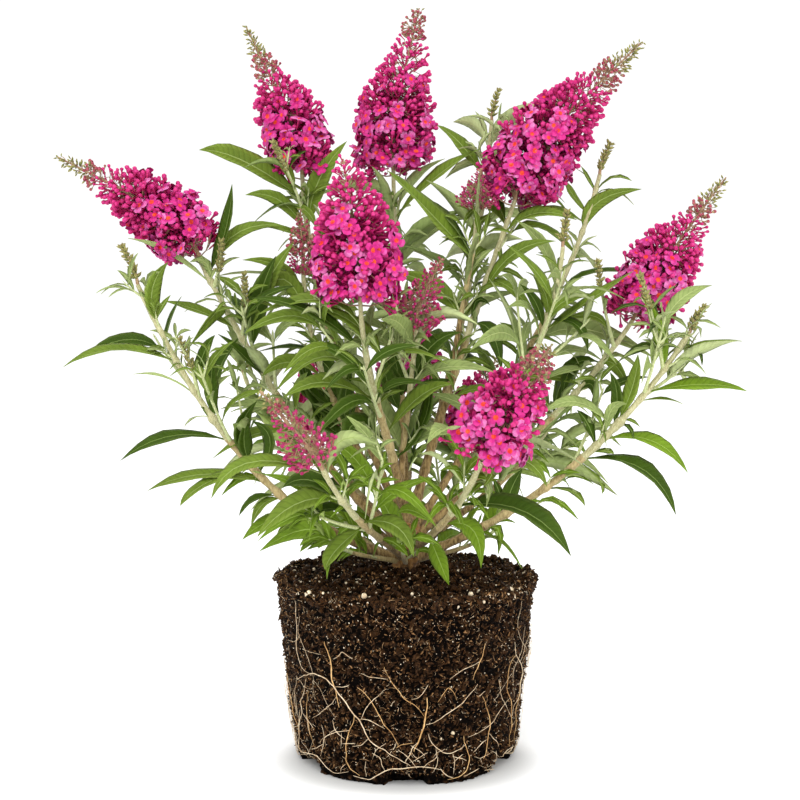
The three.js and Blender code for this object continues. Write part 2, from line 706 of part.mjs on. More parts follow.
for (let i = 0; i < footShoots.count; i++) {
  const heading = radians(footShoots.firstHeading + (360 / footShoots.count) * i + spread(12, seed, 90, i));
  const reach = footShoots.reach * (1 + spread(0.15, seed, 91, i));
  const rise = footShoots.rise * (1 + spread(0.3, seed, 92, i));
  const tip = new THREE.Vector3(reach * Math.cos(heading), reach * Math.sin(heading), ball.height + rise);
  const owner = "foot_" + (i + 1);
  const made = stemCurve(crownPoint(footShoots.foot), tip, footShoots.leans);
  const radiusAt = (share) => footShoots.radius - 0.8 * share;
  const order = grownLimbs.length;
  place(owner, limbPiece(owner, made, radiusAt, 0, 1));
  masses.push({
    owner, keys: [seed, stems.length + i], ...made, radiusAt, order, spot: "", size: footShoots.size,
    from: 0, leafFrom: 0.3 * made.length, bareTip: 3, first: 0, phase: 15 * i, internode: 16,
  });
}

for (const mass of masses) {
  const mesh = { points: [], faces: [] };
  growShoot(mesh, mass);
  addNode("leaves_" + mass.owner, cutBack(mass.owner, solidFrom(mesh), mass.order), materials.leaf);
}

export default bush;
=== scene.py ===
import json
import math
import time

import bpy
import numpy as np
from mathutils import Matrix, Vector, noise

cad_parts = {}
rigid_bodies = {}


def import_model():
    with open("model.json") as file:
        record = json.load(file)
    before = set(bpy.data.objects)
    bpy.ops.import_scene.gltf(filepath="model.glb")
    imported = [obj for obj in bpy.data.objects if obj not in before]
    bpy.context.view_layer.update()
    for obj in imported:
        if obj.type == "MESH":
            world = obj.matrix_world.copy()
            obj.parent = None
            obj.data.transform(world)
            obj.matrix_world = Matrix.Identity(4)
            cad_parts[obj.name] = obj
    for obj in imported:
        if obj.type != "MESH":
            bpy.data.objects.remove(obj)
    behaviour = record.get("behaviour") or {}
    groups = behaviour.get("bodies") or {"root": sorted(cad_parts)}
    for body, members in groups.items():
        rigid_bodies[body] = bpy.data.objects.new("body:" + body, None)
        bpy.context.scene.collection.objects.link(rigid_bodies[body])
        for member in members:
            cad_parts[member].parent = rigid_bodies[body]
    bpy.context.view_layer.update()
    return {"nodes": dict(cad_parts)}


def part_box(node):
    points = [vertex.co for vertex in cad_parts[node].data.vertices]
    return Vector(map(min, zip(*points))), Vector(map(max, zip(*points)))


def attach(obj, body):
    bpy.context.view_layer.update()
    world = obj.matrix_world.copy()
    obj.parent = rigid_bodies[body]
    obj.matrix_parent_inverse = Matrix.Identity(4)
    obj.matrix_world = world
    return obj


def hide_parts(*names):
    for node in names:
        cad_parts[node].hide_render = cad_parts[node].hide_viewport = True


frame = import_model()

began = time.time()
mm = 0.001  # shapes are worked out in millimetres and become metres when a piece is built
up = np.array([0.0, 0.0, 1.0])


def say(stage, triangles=0):
    print(f"{time.time() - began:6.1f} s  {stage}  {triangles or ''}")


# vectors and curves

def unit(vectors):
    return vectors / np.maximum(np.linalg.norm(vectors, axis=-1, keepdims=True), 1e-9)


def squareTo(vectors, axes):  # the part of each vector square to its axis, at unit length
    return unit(vectors - axes * (vectors * axes).sum(-1, keepdims=True))


def between(axis, other, angle):  # a direction at an angle from one axis towards another
    return axis * math.cos(angle) + other * math.sin(angle)


def around(side, over, turns):  # the same for many angles at once
    return side * np.cos(turns) + over * np.sin(turns)


def evenTurns(count):  # angles that share out a full turn
    return np.arange(count) * 2 * math.pi / count


def ringAt(turns, radius, height):  # points round the Z axis
    return np.stack([np.cos(turns) * radius, np.sin(turns) * radius, 0 * turns + height], -1)


def ringsAround(ahead, guide, columns):  # unit steps outwards from the points of a line to the rings round it
    side = squareTo(guide, ahead)[..., None, :]
    return around(side, np.cross(ahead[..., None, :], side), evenTurns(columns)[:, None])


def smooth(value, low, high):  # 0 below low, 1 above high, eased between them
    share = np.clip((value - low) / (high - low), 0, 1)
    return share * share * (3 - 2 * share)


class Curve:  # a Bezier curve asked by shares of its length; past its ends it runs straight on
    def __init__(self, *controls):
        self.controls = [np.array(point, float) for point in controls]
        self.steps = np.linspace(0, 1, 161)
        spans = np.linalg.norm(np.diff(self.at(self.steps), axis=0), axis=1)
        self.run = np.concatenate([[0], np.cumsum(spans)])
        self.length = self.run[-1]

    def at(self, step):
        step = np.asarray(step, float)[..., None]
        points = [control + 0 * step for control in self.controls]
        while len(points) > 1:
            points = [a + (b - a) * step for a, b in zip(points, points[1:])]
        return points[0]

    def point(self, share):
        return self.ray(share)[0]

    def ray(self, share):  # the point and the way ahead
        share = np.asarray(share, float)
        inside = np.clip(share, 0, 1)
        step = np.interp(inside * self.length, self.run, self.steps)
        ahead = unit(self.at(np.minimum(step + 1e-3, 1)) - self.at(np.maximum(step - 1e-3, 0)))
        return self.at(step) + ahead * ((share - inside) * self.length)[..., None], ahead


def chance(*keys):  # a repeatable number from 0 to 1 for a few whole numbers
    mixed = 2166136261
    for key in keys:
        mixed = ((mixed ^ key) * 16777619) & 0xFFFFFFFF
        mixed ^= mixed >> 13
        mixed = (mixed * 1540483477) & 0xFFFFFFFF
        mixed ^= mixed >> 15
    return mixed / 4294967296


def spread(amount, *keys):
    return amount * (2 * chance(*keys) - 1)


# pieces

def linked(name, data):  # a new object in the scene
    shown = bpy.data.objects.new(name, data)
    bpy.context.collection.objects.link(shown)
    return shown


class Piece:  # gathers points and faces, then becomes one object
    def __init__(self, name):
        self.name = name
        self.points, self.faces, self.kinds, self.maps = [], [], [], []
        self.count = 0

    def add(self, points, faces, kinds=0, surface=None):
        points = np.asarray(points, float).reshape(-1, 3)
        faces = np.asarray(faces)
        self.points.append(points)
        self.faces.append(faces + self.count)
        self.kinds.append(np.broadcast_to(kinds, len(faces)))
        self.maps.append(np.zeros((len(points), 2)) if surface is None else surface.reshape(-1, 2))
        self.count += len(points)

    def build(self, materials, slot, replaced=()):
        mesh = bpy.data.meshes.new(self.name)
        mesh.vertices.add(self.count)
        mesh.vertices.foreach_set("co", (np.concatenate(self.points) * mm).ravel())
        corners = np.concatenate([faces.ravel() for faces in self.faces])
        sizes = np.concatenate([np.full(len(faces), faces.shape[1]) for faces in self.faces])
        mesh.loops.add(len(corners))
        mesh.loops.foreach_set("vertex_index", corners)
        mesh.polygons.add(len(sizes))
        mesh.polygons.foreach_set("loop_start", np.concatenate([[0], np.cumsum(sizes)[:-1]]))
        mesh.polygons.foreach_set("material_index", np.concatenate(self.kinds))
        mesh.polygons.foreach_set("use_smooth", np.ones(len(sizes), bool))
        layer = mesh.uv_layers.new(name="surface")
        layer.data.foreach_set("uv", np.concatenate(self.maps)[corners].ravel())
        mesh.update(calc_edges=True)
        mesh.validate()
        for material in materials:
            mesh.materials.append(material)
        settle(linked(self.name, mesh), replaced)


def settle(shown, replaced=()):
    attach(shown, "root")
    if replaced:
        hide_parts(*replaced)
    say(shown.name, sum(len(face.vertices) - 2 for face in shown.data.polygons))


def gridFaces(rows, columns, closed=False):  # between the points of one grid, numbered row by row
    row = np.arange(rows - 1)[:, None] * columns
    column = np.arange(columns if closed else columns - 1)[None, :]
    after = (column + 1) % columns
    corners = [row + column, row + after, row + columns + after, row + columns + column]
    return np.stack(corners, -1).reshape(-1, 4)


def repeated(faces, copies, points):  # the same faces for several copies of a set of points
    return (faces[None] + (np.arange(copies) * points)[:, None, None]).reshape(-1, faces.shape[-1])


def addTube(piece, curve, guide, shares, radii, kinds=0, columns=12):  # radii is (rows,) or (rows, columns)
    point, ahead = curve.ray(shares)
    radii = np.broadcast_to(np.asarray(radii).reshape(len(shares), -1), (len(shares), columns))
    wall = point[:, None] + ringsAround(ahead, guide, columns) * radii[..., None]
    piece.add(wall, gridFaces(len(shares), columns, True), kinds)


def steadyGuide(ahead):  # up, but sideways where the way ahead is itself nearly upright
    return np.where(np.abs(ahead[..., 2:]) > 0.9, np.array([1.0, 0, 0]), up)


def addStalks(piece, starts, middles, ends, radii, columns=3, taper=0.8):  # many short bent tubes
    path = np.stack([starts, middles, ends], 1)
    ahead = unit(np.stack([middles - starts, ends - starts, ends - middles], 1))
    size = np.asarray(radii).reshape(-1, 1, 1, 1) * np.array([1, (1 + taper) / 2, taper])[None, :, None, None]
    wall = path[:, :, None] + ringsAround(ahead, steadyGuide(ahead[:, 1:2]), columns) * size
    piece.add(wall, repeated(gridFaces(3, columns, True), len(path), 3 * columns))


def addCopies(piece, template, points, facings, rolls, sizes, kinds=0):  # a small shape at many places
    side = squareTo(steadyGuide(facings), facings)
    over, turns = np.cross(facings, side), rolls[:, None]
    axes = np.stack([around(side, over, turns), around(over, -side, turns), facings], 1)
    placed = points[:, None] + np.einsum("vk,nkj->nvj", template["points"], axes) * sizes[:, None, None]
    total = len(template["points"])
    faces = repeated(template["faces"], len(points), total)
    own = np.tile(template["kinds"], len(points))
    piece.add(placed, faces, own + np.repeat(np.broadcast_to(kinds, len(points)), len(template["faces"])))


# shader helper

class Number:  # a value inside a node tree, with the usual signs between values
    def __init__(self, shader, socket):
        self.shader, self.socket = shader, socket

    def reckon(self, operation, *others, flip=False):
        node = self.shader.node("ShaderNodeMath", dict(operation=operation))
        values = [self, *others]
        for place, value in zip(node.inputs, reversed(values) if flip else values):
            self.shader.plug(place, value)
        return Number(self.shader, node.outputs[0])

    def __add__(self, other):
        return self.reckon("ADD", other)

    def __sub__(self, other):
        return self.reckon("SUBTRACT", other)

    def __rsub__(self, other):
        return self.reckon("SUBTRACT", other, flip=True)

    def __mul__(self, other):
        return self.reckon("MULTIPLY", other)

    __radd__, __rmul__ = __add__, __mul__

    def size(self):
        return self.reckon("ABSOLUTE")

    def eased(self, low, high):
        node = self.shader.node("ShaderNodeMapRange", dict(interpolation_type="SMOOTHSTEP"),
                                {"Value": self, "From Min": low, "From Max": high})
        return Number(self.shader, node.outputs["Result"])


class Nodes:  # makes and links the nodes of one tree
    def __init__(self, tree):
        self.nodes, self.links = tree.nodes, tree.links

    def plug(self, place, value):
        value = value.socket if isinstance(value, Number) else value
        if isinstance(value, bpy.types.NodeSocket):
            self.links.new(value, place)
        else:
            place.default_value = value

    def node(self, kind, settings=None, values=None):
        new = self.nodes.new(kind)
        for name, value in (settings or {}).items():
            setattr(new, name, value)
        for name, value in (values or {}).items():
            self.plug(new.inputs[name], value)
        return new


class Shader(Nodes):  # one material and its node tree
    def __init__(self, name, **fixed):
        self.material = bpy.data.materials.new(name)
        self.material.use_nodes = True
        super().__init__(self.material.node_tree)
        self.surface = self.nodes["Principled BSDF"]
        for label, value in fixed.items():
            self.surface.inputs[label.replace("_", " ")].default_value = value

    def place(self, stretch=(1, 1, 1)):  # object coordinates in metres, stretched
        where = self.node("ShaderNodeTexCoord").outputs["Object"]
        scaled = self.node("ShaderNodeVectorMath", dict(operation="MULTIPLY"), {0: where, 1: stretch})
        return scaled.outputs["Vector"]

    def cloud(self, scale, detail=2.0, roughness=0.5, stretch=(1, 1, 1)):
        values = {"Vector": self.place(stretch), "Scale": scale, "Detail": detail, "Roughness": roughness}
        return Number(self, self.node("ShaderNodeTexNoise", None, values).outputs["Fac"])

    def surfaceMap(self):
        spot = self.node("ShaderNodeUVMap", dict(uv_map="surface")).outputs["UV"]
        parts = self.node("ShaderNodeSeparateXYZ", None, {"Vector": spot})
        return Number(self, parts.outputs["X"]), Number(self, parts.outputs["Y"])

    def mix(self, share, first, second):
        values = {"Factor": share, "A": first, "B": second}
        node = self.node("ShaderNodeMix", dict(data_type="RGBA"))
        for place in node.inputs:
            if place.enabled and place.name in values:
                self.plug(place, values[place.name])
        return next(output for output in node.outputs if output.enabled)

    def bump(self, height, distance, strength=1.0):
        values = {"Height": height, "Distance": distance, "Strength": strength}
        return self.node("ShaderNodeBump", None, values).outputs["Normal"]

    def finish(self, colour=None, roughness=None, normal=None):
        for name, value in (("Base Color", colour), ("Roughness", roughness), ("Normal", normal)):
            if value is not None:
                self.plug(self.surface.inputs[name], value)
        return self.material


def shade(colour, factor):  # the same colour, darker or lighter
    return tuple(min(1, part * factor) for part in colour[:3]) + (1,)


# the view

view = dict(place=(-4, -950, 326.5), aim=(-4, 0, 249.5), focal=1359, pixels=800, sensor=36)
viewPlace = np.array(view["place"])
viewAhead = unit(np.array(view["aim"]) - viewPlace)
viewRight = unit(np.cross(viewAhead, up))
viewAxes = np.array([viewRight, np.cross(viewRight, viewAhead), viewAhead])


def seenAt(points):  # where points show in the view, across from its left and down from its top
    across, rise, depth = viewAxes @ (np.asarray(points) - viewPlace).T
    return np.stack([across, -rise], -1) / depth[..., None] * view["focal"] + view["pixels"] / 2


def pointAt(spot, depth):  # the point that shows at a place in the view, at a depth along Y
    across, down = np.array(spot) - view["pixels"] / 2
    way = np.array([across, -down, view["focal"]]) @ viewAxes
    return viewPlace + way * (depth - viewPlace[1]) / way[1]


# the growth rule

seed = 85
gap = 0.3
ballHeight = round(float(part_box("woody_crown")[0][2]) / mm - gap)
crown = dict(flareRadius=13.5, waistRadius=8.2, knuckleRadius=9.6, height=38, lean=(2, -1.5))
tipRadius = 1.5

leaf = dict(
    length=67, droop=0.54, open=50, opening=12, taper=0.2, rise=0.08, leastRise=0.23, leastOut=0.35,
    tilt=(18, 66), heart=(0, 40), heartWidth=12, seat=0.7, half=dict(usual=0.103, foot=0.135),
    ballRoom=dict(radius=96, above=6),
    varies=dict(turn=18, open=13, length=0.24, droop=0.2),
    attempts=((0, 0, 1), (0, -10, -0.8), (16, 4, 0.4), (-16, 8, 1.1), (8, -16, 0.6)),  # turn, open, tilt
)
pairs = dict(internode=23, jointHeight=2.6, axil=0.8)
branching = dict(lift=0.16, seat=0.75, thinning=0.35)
sideShoot = dict(depth=1, share=0.22, upTo=0.85, open=31, reach=72, radius=1.1, size=0.72, internode=17,
                 leafFrom=6, bareTip=2)
tuft = dict(depth=2, share=(0.8, 0.3), open=34, reach=15, radius=0.6, size=0.36, internode=5.5, leafFrom=0.5,
            bareTip=0)  # the short leafy shoot in an axil, commoner on a bough than on a side shoot


def spike(kind, width, *to):
    return dict(kind=kind, width=width, to=to)


def stem(name, foot, leans, tip, radius, enters, flower, parent=None, at=0):
    return dict(name=name, foot=foot, leans=leans, tip=tip, radius=radius, enters=enters, spike=flower,
                parent=parent, at=at)


stems = [
    stem("front", 26, (12, 5), (-30, -60, 319), 4.2, 0.34, spike("open", 64, -41, -66, 412)),
    stem("left", 18, (50, 28), (-145, 15, 346), 3.4, 0.34, spike("open", 56, -245, 10, 420)),
    stem("top_left", 26, (30, 4), (-76, 60, 411), 3.2, 0.36, spike("open", 56, -118, 70, 521)),
    stem("top_middle", 27, (26, 5), (-9, 95, 417), 3.4, 0.36, spike("open", 64, 11, 100, 541)),
    stem("top_right", 26, (16, 22), (79, 40, 391), 3.8, 0.36, spike("open", 66, 169, 30, 503)),
    stem("right", 19, (48, 33), (160, 10, 305), 3.3, 0.34, spike("open", 56, 224, 5, 406)),
    stem("low_right", 10, (62, 40), (47, -115, 222), 3.1, 0.42, spike("open", 56, 88, -130, 294)),
    stem("low_left", 9, (64, 44), (-52, -115, 216), 2.9, 0.42, spike("closed", 38, -89, -135, 267)),
    stem("left_outer", 8, (76, 24), (-181, -30, 330), 3.3, 0.3, spike("green", 10, -192, -30, 357)),
    stem("right_outer", 7, (68, 32), (190, -40, 298), 3.3, 0.3, spike("green", 9, 200, -40, 316)),
    stem("inner_left", 22, (30, 2), (-73, 25, 337), 2.7, 0.4, spike("closed", 24, -75, 25, 385)),
    stem("right_rear", 22, (36, 16), (143, 60, 411), 2.8, 0.38, spike("green", 10, 151, 60, 435)),
    stem("middle", 0, (14, 12), (7, -35, 300), 2.4, 0, spike("closed", 36, 24, -40, 348), "front", 0.22),
    stem("upper_side", 0, (4, 3), (51, 25, 385), 2.1, 0, spike("closed", 30, 53, 20, 412), "top_right", 0.45),
    stem("upper_rear", 26, (28, 9), (66, 100, 455), 2.7, 0.5, spike("green", 9, 71, 100, 478)),
    stem("inner_right", 0, (18, 4), (108, -10, 356), 2.4, 0, spike("green", 10, 111, -10, 381), "right", 0.3),
    stem("rear_left", 14, (60, 30), (-60, 130, 215), 3.0, 0.4, spike("open", 50, -84, 166, 282)),
    stem("rear_right", 12, (60, 30), (52, 130, 206), 3.0, 0.4, spike("open", 50, 76, 166, 272)),
    stem("rear_middle", 20, (44, 24), (4, 165, 240), 3.1, 0.4, spike("open", 54, 6, 198, 322)),
    stem("rear_left_outer", 12, (66, 26), (-126, 108, 262), 3.0, 0.36, spike("green", 9, -134, 112, 284)),
    stem("rear_right_outer", 11, (64, 28), (132, 112, 258), 3.0, 0.36, spike("green", 9, 142, 116, 280)),
]
footShoots = dict(count=5, foot=5, firstHeading=205, reach=62, rise=30, radius=1.9, thinning=0.8,
                  leans=(70, 48), size=0.8, internode=16, leafFrom=0.3, turning=15, tanBelow=0.7)


def limbRadius(radius, share):  # a bough's radius along it, from its foot to its tip
    return radius + (tipRadius - radius) * share**0.8


def crownPoint(height):
    share = height / crown["height"]
    return np.array([crown["lean"][0] * share, crown["lean"][1] * share, ballHeight + gap + height])


def stemCurve(start, tip, leans):
    across = unit((tip - start) * [1, 1, 0])
    reach = 0.36 * np.linalg.norm(tip - start)
    setOff, arrive = (between(up, across, math.radians(lean)) for lean in leans)
    return Curve(start, start + setOff * reach, tip - arrive * reach, tip), np.cross(across, up)


def frameAt(curve, share, guide):
    point, ahead = curve.ray(share)
    side = squareTo(guide, ahead)
    return dict(point=point, ahead=ahead, side=side, over=np.cross(ahead, side), share=share)


def leafPose(spot, heading, opens, tilt):  # the way a leaf sets off and the way its upper face looks
    outward = between(spot["side"], spot["over"], heading)
    out = between(spot["ahead"], outward, opens)
    out[2] = max(out[2] + leaf["rise"], leaf["leastRise"])
    out = unit(out)
    across = np.cross(out, up)
    across = unit(across if np.linalg.norm(across) > 0.2 else outward)
    middle = spot["point"] + out * leaf["length"] * 0.38
    outside = (middle[0] - leaf["heart"][0]) * across[0] + (middle[1] - leaf["heart"][1]) * across[1]
    lean = math.copysign(abs(tilt), outside) if abs(outside) > leaf["heartWidth"] else tilt
    return out, squareTo(between(up, across, lean), out)


def tiltOf(*keys):
    part = spread(1, *keys, 5)
    low, high = leaf["tilt"]
    return math.copysign(math.radians(low + (high - low) * abs(part)), part)


leaves, twigs = [], []


def growLeaf(shoot, spot, wall, turn, keys):
    varies = leaf["varies"]
    opens = leaf["open"] + leaf["opening"] * (0.5 - spot["share"]) + spread(varies["open"], *keys, 2)
    length = shoot["size"] * leaf["length"]
    length *= 1 - leaf["taper"] * spot["share"] + spread(varies["length"], *keys, 3)
    droop = leaf["droop"] + spread(varies["droop"], *keys, 4)
    root = spot["point"] + wall * spot["radius"] * leaf["seat"]
    half = leaf["half"]["foot" if shoot["stem"].startswith("foot") else "usual"]
    for addTurn, addOpen, tiltBy in leaf["attempts"]:
        heading = turn + math.radians(addTurn)
        out, face = leafPose(spot, heading, math.radians(opens + addOpen), tiltOf(*keys) * tiltBy)
        if (out * wall).sum() < leaf["leastOut"] and not shoot["fine"]:
            continue
        one = dict(root=root, out=out, face=face, length=length, droop=droop, keys=keys, half=half,
                   share=spot["share"], stem=shoot["stem"], depth=shoot["depth"])
        if isClear(one):
            leaves.append(one)
            return


def growShoot(shoot):  # crossed pairs of leaves, each with a side shoot or a tuft in its axil
    keys, curve, guide, length = shoot["keys"], shoot["curve"], shoot["guide"], shoot["curve"].length
    phase, internode = shoot["phase"], shoot["internode"]
    start = shoot["leafFrom"] + pairs["jointHeight"] + shoot["first"] * internode
    count = max(0, int((length - shoot["bareTip"] - start) // internode) + 1)
    half = pairs["jointHeight"] / 2
    shoot["joints"] = [start + pair * internode for pair in range(count)]
    for pair, middle in enumerate(shoot["joints"]):
        branches = middle <= sideShoot["upTo"] * length and chance(*keys, pair, 20) <= 2 * sideShoot["share"]
        for corner in (pair % 2, pair % 2 + 2):
            spot = frameAt(curve, middle / length, guide)
            spot["radius"] = shoot["radiusAt"](spot["share"])
            wall = between(spot["side"], spot["over"], math.radians(phase + 90 * corner))
            own = (*keys, pair, 0 if corner == pair % 4 else 1)
            turn = math.radians(phase + 90 * corner + spread(leaf["varies"]["turn"], *own, 1))
            growLeaf(shoot, spot, wall, turn, own)
            if shoot["depth"] == 2:
                continue
            axil = frameAt(curve, (middle + 2 * half + pairs["axil"]) / length, guide)
            axil["radius"] = spot["radius"]
            if shoot["depth"] == 0 and branches and chance(*own, 30, 1) <= 0.5:
                growBranch(shoot, axil, wall, (*own, 30), sideShoot)
            elif chance(*own, 50) < tuft["share"][shoot["depth"]]:
                growBranch(shoot, axil, wall, (*own, 51), tuft)


def growBranch(parent, spot, wall, keys, rule):
    fine, lift = rule["depth"] == 2, branching["lift"]
    out = between(spot["ahead"], wall, math.radians(rule["open"]))
    if fine:
        extent = rule["reach"] * (0.45 + 0.9 * chance(*keys, 2))
    else:
        extent = rule["reach"] * (1 + spread(0.25, *keys, 2)) * (1.1 - 0.6 * spot["share"])
    root = spot["point"] + wall * spot["radius"] * branching["seat"]
    tip = root + out * (1 - lift / 2) * extent + up * lift * extent
    curve = Curve(root, root + out * 0.5 * extent, tip)
    shoot = dict(
        keys=keys, curve=curve, guide=np.cross(squareTo(up, out), out), internode=rule["internode"],
        radiusAt=lambda share: rule["radius"] * (1 - branching["thinning"] * share), stem=parent["stem"],
        depth=rule["depth"], leafFrom=rule["leafFrom"], first=0.5, bareTip=rule["bareTip"],
        phase=45 + 90 * int(chance(*keys, 3) + 0.5), size=rule["size"] * parent["size"], fine=fine,
    )
    twigs.append(shoot)
    growShoot(shoot)


# what the leaves keep clear of

blossom = dict(bow=0.21, outline=((0, 0.68), (0.08, 0.92), (0.21, 1), (0.32, 0.94), (0.45, 0.8), (0.6, 0.64),
                                  (0.75, 0.47), (0.9, 0.27), (1, 0.1)))


def coneAxis(start, ahead, to, bow=blossom["bow"]):  # the curve up the middle of a flower cone
    end = np.array(to, float)
    reach = np.linalg.norm(end - start)
    chord = (end - start) / reach
    rise = squareTo(up, chord)
    bend = bow * math.hypot(chord[0], chord[1])
    ending = unit(chord - rise * 2 * bend)
    return Curve(start, start + ahead * 0.2 * reach + rise * bend * reach, end - ending * 0.4 * reach, end)


# a fuller head stays broad higher up, and a tailed one thins out early
def coneRadius(share, width, fuller=0, tail=0):
    marks = np.array(blossom["outline"])
    share = share * (1 - fuller * share * (1 - share))
    return width / 2 * np.interp(share, marks[:, 0], marks[:, 1]) * (1 - tail * smooth(share, 0.42, 0.82))


barriers = dict(points=[], radii=[], owners=[])


def addBarrier(curve, radii, owner):
    shares = np.linspace(0, 1, len(radii))
    barriers["points"].append(curve.point(shares))
    barriers["radii"].append(radii)
    barriers["owners"] += [owner] * len(radii)


def leafLine(one, shares):  # points on the midline of a leaf
    sag = squareTo(up, one["out"]) * (-one["droop"] * math.hypot(*one["out"][:2]) * one["length"])
    return one["root"] + one["out"] * one["length"] * shares + sag * shares**2


def isClear(one):  # tries the midline of a leaf against limbs, cones and soil
    line = leafLine(one, np.linspace(0.3, 1, 6)[:, None])
    low = line[:, 2] < ballHeight + leaf["ballRoom"]["above"]
    if (low & (np.hypot(line[:, 0], line[:, 1]) < leaf["ballRoom"]["radius"])).any():
        return False
    away = np.linalg.norm(line[:, None] - barriers["all"][None], axis=2) - barriers["sizes"]
    return not (away[:, barriers["owners"] != one["stem"]] < 0).any()


curves = {}
for row in stems:
    parent = curves.get(row["parent"])
    start = parent[0].point(row["at"]) if parent else crownPoint(row["foot"])
    curves[row["name"]] = stemCurve(start, np.array(row["tip"], float), row["leans"])
    curve = curves[row["name"]][0]
    addBarrier(curve, limbRadius(row["radius"], np.linspace(0, 1, 60)) + 1.5, row["name"])
    if row["spike"]["kind"] != "green":
        point, ahead = curve.ray(1)
        row["axis"] = coneAxis(point, ahead, row["spike"]["to"])
        addBarrier(row["axis"], coneRadius(np.linspace(0, 1, 24), row["spike"]["width"]) * 0.8, "")
barriers["all"] = np.concatenate(barriers["points"])
barriers["sizes"] = np.concatenate(barriers["radii"])
barriers["owners"] = np.array(barriers["owners"])

shoots = []
for index, row in enumerate(stems):
    curve, guide = curves[row["name"]]
    keys = (seed, index)
    shoots.append(dict(
        keys=keys, curve=curve, guide=guide, internode=pairs["internode"], stem=row["name"], size=1, depth=0,
        radiusAt=lambda share, radius=row["radius"]: limbRadius(radius, share), fine=False,
        leafFrom=(row["enters"] or 0.18) * curve.length, first=chance(*keys, 41),
        phase=180 * chance(*keys, 42), bareTip=3 if row["spike"]["kind"] == "green" else 9,
    ))
for i in range(footShoots["count"]):
    heading = footShoots["firstHeading"] + 360 / footShoots["count"] * i + spread(12, seed, 90, i)
    reach = footShoots["reach"] * (1 + spread(0.15, seed, 91, i))
    rise = footShoots["rise"] * (1 + spread(0.3, seed, 92, i))
    heading = math.radians(heading)
    tip = np.array([reach * math.cos(heading), reach * math.sin(heading), ballHeight + rise])
    curve, guide = stemCurve(crownPoint(footShoots["foot"]), tip, footShoots["leans"])
    shoots.append(dict(
        keys=(seed, len(stems) + i), curve=curve, guide=guide, internode=footShoots["internode"],
        stem=f"foot_{i + 1}", depth=1, size=footShoots["size"], fine=False, first=0, bareTip=3,
        radiusAt=lambda share: footShoots["radius"] - footShoots["thinning"] * share,
        leafFrom=footShoots["leafFrom"] * curve.length, phase=footShoots["turning"] * i,
    ))
for shoot in shoots:
    growShoot(shoot)

# leafy side shoots that end in a green spike
spikeShoot = dict(bend=3, internode=15, radius=1.25, thinning=0.6, leafFrom=4, first=0.4, bareTip=0.34,
                  size=0.42)
sideSpikes = (  # stem, where root and tip show, and how far the tip lies behind the root
    ("left_outer", (203, 396), (180, 339), -8), ("top_left", (300, 222), (273, 142), -34),
    ("right_outer", (661, 368), (640, 275), -12), ("left", (250, 334), (244, 274), -12),
    ("right", (592, 330), (598, 262), -10), ("left", (224, 282), (221, 241), -16),
)


# a stem's bough, with the share and the point on it that show nearest to a place in the view
def nearestOn(name, spot, shares):
    shoot = next(one for one in shoots if one["stem"] == name)
    path = shoot["curve"].point(shares)
    best = np.argmin(np.linalg.norm(seenAt(path) - spot, axis=1))
    return shoot, shares[best], path[best]


for number, (name, root, tip, behind) in enumerate(sideSpikes):
    start = nearestOn(name, root, np.linspace(0.05, 1, 200))[2]
    end = pointAt(tip, start[1] + behind)
    sideways = spikeShoot["bend"] if tip[0] > root[0] else -spikeShoot["bend"]
    bend = (start + end) / 2 + unit(np.cross(end - start, [0, 1.0, 0])) * sideways
    curve, ahead = Curve(start, bend, end), unit(end - start)
    twigs.append(dict(
        keys=(seed, 200 + number), curve=curve, guide=np.cross(squareTo(up, ahead), ahead), stem=name,
        radiusAt=lambda share: spikeShoot["radius"] - spikeShoot["thinning"] * share, phase=45, depth=1,
        fine=False, spiked=True, bareTip=spikeShoot["bareTip"] * curve.length,
        **{name: spikeShoot[name] for name in ("internode", "leafFrom", "first", "size")},
    ))
    growShoot(twigs[-1])

